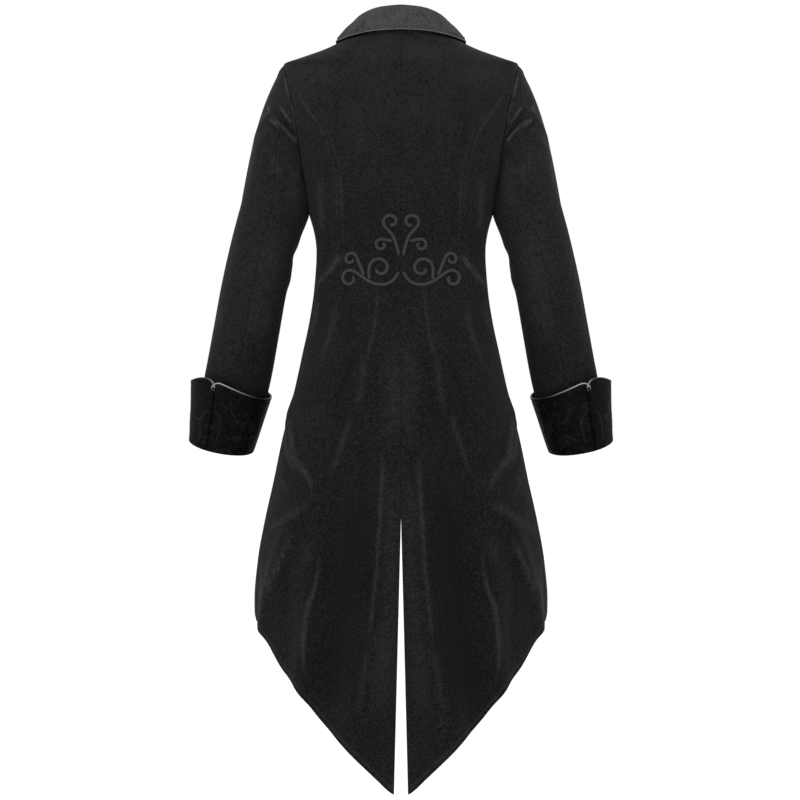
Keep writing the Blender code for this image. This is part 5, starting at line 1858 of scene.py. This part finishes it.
def braid_piece(finder, name, side, material):
    """One cord of the scrollwork, with two ribs and a groove between them."""
    start_x, start_z, headings = scroll_course(name)
    tuck, first = BRAID_TUCK[name], math.radians(headings[0][1])
    start_x, start_z = start_x - tuck * math.cos(first), start_z - tuck * math.sin(first)
    headings = ((0, headings[0][1]),) + tuple((length + tuck, heading) for length, heading in headings)
    x, z = scroll_path(start_x, start_z, headings)
    run = unit(np.stack([np.gradient(x), np.gradient(z)], axis=-1))
    last = len(x) - 1
    place, tall, pale = np.array(BRAID_SECTION).T
    rings, light = [], []
    for index in range(len(x)):
        slim = min(1.0, BRAID_END + BRAID_END_GROWTH * min(index, last - index))
        aside = np.array((-run[index][1], run[index][0])) * CORD_WIDTH * slim / 2
        left, left_up = seat(finder, x[index] - aside[0], z[index] - aside[1], True)
        right, right_up = seat(finder, x[index] + aside[0], z[index] + aside[1], True)
        up = unit(left_up + right_up)
        middle = (right + left) / 2 + up * BRAID_SEAT
        beat = np.cos(2 * np.pi * (index * CORD_STEP / BRAID_TWIST + BRAID_SKEW * place))
        height = tall * CORD_HEIGHT * slim * (1 + BRAID_BEAT * beat)
        rings.append(middle + (right - left) / 2 * place[:, None] + up * height[:, None])
        # Painted highlight on the ribs' tops and painted shade at the edges, beating with the twist
        light.append(pale * (1 - BRAID_SHINE_BEAT + BRAID_SHINE_BEAT * beat))
    sides = len(place)
    faces = end_faces(len(rings), sides) + ring_faces(len(rings), sides)
    values = {"light": np.concatenate(light)}
    mirror = side == "right"
    piece = add_mesh(f"braid_{name}_{side}", np.concatenate(rings), faces, values=values, mirror=mirror)
    dressed(piece, (material,), f"scroll_{name}_{side}")


# The button's outline, from the dome's middle over the rim to the shank: radius and height
BUTTON_LATHE = (
    (0.0, 4.6), (2.5, 4.5), (5.0, 4.3), (6.6, 3.9), (7.4, 3.4), (7.9, 3.3), (8.5, 3.7), (9.4, 3.9),
    (10.3, 3.6), (10.9, 2.9), (11.0, 2.3), (10.7, 1.6), (10.0, 1.2), (8.0, 1.0), (5.5, 0.8), (5.5, 0.0),
    (0.0, 0.0),
)


def button_piece(number, place, normal, material):
    """A domed button with a roped rim."""
    points = []
    for radius, height in BUTTON_LATHE:
        roped = ROPE_RADII[0] < radius < ROPE_RADII[1] and height > ROPE_ABOVE
        for index in range(BUTTON_TURNS):
            turn = 2 * math.pi * index / BUTTON_TURNS
            rope = ROPE_HEIGHT * math.cos(turn * ROPE_STRANDS) if roped else 0.0
            points.append((radius * math.cos(turn), radius * math.sin(turn), height + rope))
    axis = Vector(normal).to_track_quat("Z", "Y").to_matrix()
    points = np.array(points) @ np.array(axis).T + place + normal * BUTTON_CLEARANCE
    faces = ring_faces(len(BUTTON_LATHE), BUTTON_TURNS)
    piece = add_mesh(f"domed_button_{number}", np.round(points, 5), faces, weld=BUTTON_WELD)
    dressed(piece, (material,), f"button_{number}")


def buttonhole(number, finder, height, material):
    """A worked buttonhole from the button away from the lapped edge."""
    turn = np.linspace(0, 2 * np.pi, HOLE_POINTS, endpoint=False)
    x = HOLE_MIDDLE + np.clip(np.cos(turn) * HOLE_END_REACH, -HOLE_HALF_LENGTH, HOLE_HALF_LENGTH)
    z = height + np.sin(turn) * HOLE_HALF_WIDTH
    path = []
    for index in range(len(x)):
        place, normal = seat(finder, x[index], z[index], False)
        path.append(place + normal * HOLE_LIFT)
    add_tube(f"buttonhole_{number}", path, THREAD_RADIUS, material, sides=6, closed=True)


def make_coat():
    lines = seams()
    sleeve = sleeve_grid(lines)[0]
    sleeve = np.concatenate([sleeve, sleeve[:, :1]], axis=1)
    seen = seat_finder(
        back_face(lines)[0][COARSE], side_back_face(lines)[0][COARSE], side_skirt_face(lines)[0][COARSE],
        outer_face(*front_angles(lines))[0][COARSER], sleeve[COARSER],
    )
    # Each velvet's shine is the colour of its painted highlights.
    velvet = pile_velvet(
        "black_velvet_pile", dark=(0.0042, 0.0042, 0.0043), pale=(0.0155, 0.0155, 0.0158),
        shine=(0.046, 0.046, 0.0465), roughness=0.95, sheen=0.05, sheen_roughness=0.5, tint=(0.7, 0.7, 0.72),
    )
    # The collar is the same velvet painted several times lighter, as painted light where it faces up.
    collar_velvet_painted_lit = pile_velvet(
        "collar_velvet_pile_painted_lit", dark=(0.017, 0.017, 0.0175), pale=(0.058, 0.058, 0.0585),
        shine=(0.12, 0.12, 0.12), roughness=0.95, sheen=0.03, sheen_roughness=0.45, tint=(0.7, 0.7, 0.7),
    )
    crushed = pile_velvet(
        "crushed_velvet_pile", dark=(0.0012, 0.0012, 0.0013), pale=(0.0066, 0.0066, 0.007),
        shine=(0.022, 0.022, 0.0225), roughness=0.6, sheen=0.02, sheen_roughness=0.3, tint=(0.6, 0.6, 0.62),
        mottle=0.6, crush=0.9, specular=0.04,
    )
    back_of_cloth = woven_back()
    braid = braid_cloth(
        "soutache_braid", dark=(0.003, 0.003, 0.0031), pale=(0.009, 0.009, 0.0092), roughness=0.75,
        shine=(0.04, 0.04, 0.0405),
    )
    thread = braid_cloth(
        "buttonhole_thread", dark=(0.008, 0.008, 0.0082), pale=(0.028, 0.028, 0.0285), roughness=0.75
    )
    # The satin's shine is the colour of its painted highlight.
    satin = braid_cloth(
        "satin_piping", dark=(0.003, 0.003, 0.003), pale=(0.012, 0.012, 0.012), roughness=0.45,
        shine=(0.3, 0.3, 0.3),
    )
    collar_edge = braid_cloth(
        "collar_piping_cloth", dark=(0.08, 0.08, 0.08), pale=(0.16, 0.16, 0.16), roughness=0.6
    )
    metal = gunmetal()
    cloth = (velvet, back_of_cloth)
    for side in ("left", "right"):
        mirror = side == "right"
        strokes = strokes_for(-1 if mirror else 1, seen)
        panels = body_pieces(lines, strokes)
        panels["front"] = front_piece(lines, strokes, mirror)
        upper_count = RING - (SLEEVE_SEAM_FRONT - SLEEVE_SEAM_BACK)
        panels["sleeve_upper"] = sleeve_piece(lines, strokes, SLEEVE_SEAM_FRONT, upper_count)
        panels["sleeve_under"] = sleeve_piece(lines, strokes, SLEEVE_SEAM_BACK, RING - upper_count)
        for name, (points, normals, light, seam) in panels.items():
            piece = add_cloth(
                f"{name}_cloth_{side}", points, normals, CLOTH, cloth, light, seam,
                f"{name}_{side}", mirror,
            )
        cuff_pieces((crushed, crushed), satin, side)
        behind = seat_finder(panels["back"][0], panels["side_back"][0], panels["side_skirt"][0])
        for name in SCROLLS:
            braid_piece(behind, name, side, braid)
        if mirror:
            lapped = seat_finder(panels["front"][0] * np.array((-1.0, 1.0, 1.0)))
    collar_pieces(lines, (collar_velvet_painted_lit, collar_velvet_painted_lit), collar_edge)
    for number, height in enumerate(BUTTON_HEIGHTS, start=1):
        place, normal = seat(lapped, 0.0, height, False)
        button_piece(number, place, normal, metal)
        buttonhole(number, lapped, height, thread)


# The studio

# The floor's height and half its width, in metres
FLOOR = -1.42
FLOOR_REACH = 60.0
FLOOR_COLOURS = ((0.93, 0.93, 0.93), (0.95, 0.95, 0.95))
# How bright the room is, and how bright the wall that the camera sees
ROOM_STRENGTH = 0.6
WALL_STRENGTH = 1.0
# The coat's middle is this many of the picture's pixels beside the picture's own.
PICTURE_PIXELS = 800
MIDDLE_SHIFT = -1.0
SENSOR_HALF_WIDTH = 18.0
CAMERA_REACH = 200.0
# Soft far lights: bearing from behind the coat and height, in degrees, strength, and spread
SUNS = {
    "key": (18.0, 52.0, 1.1, 40.0),
    "left": (75.0, 34.0, 0.55, 50.0),
    "right": (-75.0, 34.0, 0.55, 50.0),
    "front": (180.0, 42.0, 0.6, 45.0),
}
SUN_DISTANCE = 6.0


def add_floor():
    mesh = bpy.data.meshes.new("floor")
    corners = [
        (x * FLOOR_REACH, y * FLOOR_REACH, FLOOR) for x, y in ((-1, -1), (1, -1), (1, 1), (-1, 1))
    ]
    mesh.from_pydata(corners, [], [(0, 1, 2, 3)])
    floor = bpy.data.objects.new("floor", mesh)
    bpy.context.scene.collection.objects.link(floor)
    material, tree, shader, place = nodes_of("pale_floor")
    colour = mixed(tree, noise(tree, place, *NOISES["floor"]), *FLOOR_COLOURS)
    tree.links.new(colour, shader.inputs["Base Color"])
    set_inputs(shader, {"Roughness": 0.9, "Specular IOR Level": 0.0})
    floor.data.materials.append(material)


def add_sun(name, bearing, height, strength, spread):
    """A soft far light that shines on the coat from a bearing and a height, in degrees."""
    data = bpy.data.lights.new(name, "SUN")
    data.energy = strength
    data.angle = math.radians(spread)
    light = bpy.data.objects.new(name, data)
    bearing, height = math.radians(bearing), math.radians(height)
    level = math.cos(height)
    towards = Vector((math.sin(bearing) * level, math.cos(bearing) * level, math.sin(height)))
    light.rotation_mode = "QUATERNION"
    light.rotation_quaternion = towards.to_track_quat("Z", "Y")
    light.location = towards * SUN_DISTANCE
    bpy.context.scene.collection.objects.link(light)


def add_world():
    """An even grey room, which a camera sees as its white wall."""
    world = bpy.data.worlds.new("studio")
    world.use_nodes = True
    tree = world.node_tree
    background = tree.nodes["Background"]
    seen = tree.nodes.new("ShaderNodeLightPath")
    mix = tree.nodes.new("ShaderNodeMapRange")
    tree.links.new(seen.outputs["Is Camera Ray"], mix.inputs["Value"])
    set_inputs(mix, {"To Min": ROOM_STRENGTH, "To Max": WALL_STRENGTH})
    tree.links.new(mix.outputs["Result"], background.inputs["Strength"])
    background.inputs["Color"].default_value = (1.0, 1.0, 1.0, 1.0)
    bpy.context.scene.world = world


def add_camera():
    data = bpy.data.cameras.new("camera")
    data.lens = SENSOR_HALF_WIDTH * EYE.y / VIEW_HALF_WIDTH
    data.shift_x = MIDDLE_SHIFT / PICTURE_PIXELS
    data.clip_end = CAMERA_REACH
    camera = bpy.data.objects.new("camera", data)
    camera.location = EYE * MM
    camera.rotation_euler = (math.radians(90), 0.0, math.radians(180))
    bpy.context.scene.collection.objects.link(camera)
    bpy.context.scene.camera = camera


make_coat()
add_floor()
add_world()
add_camera()
for name, row in SUNS.items():
    add_sun(name, *row)
bpy.context.scene.view_settings.view_transform = "Standard"
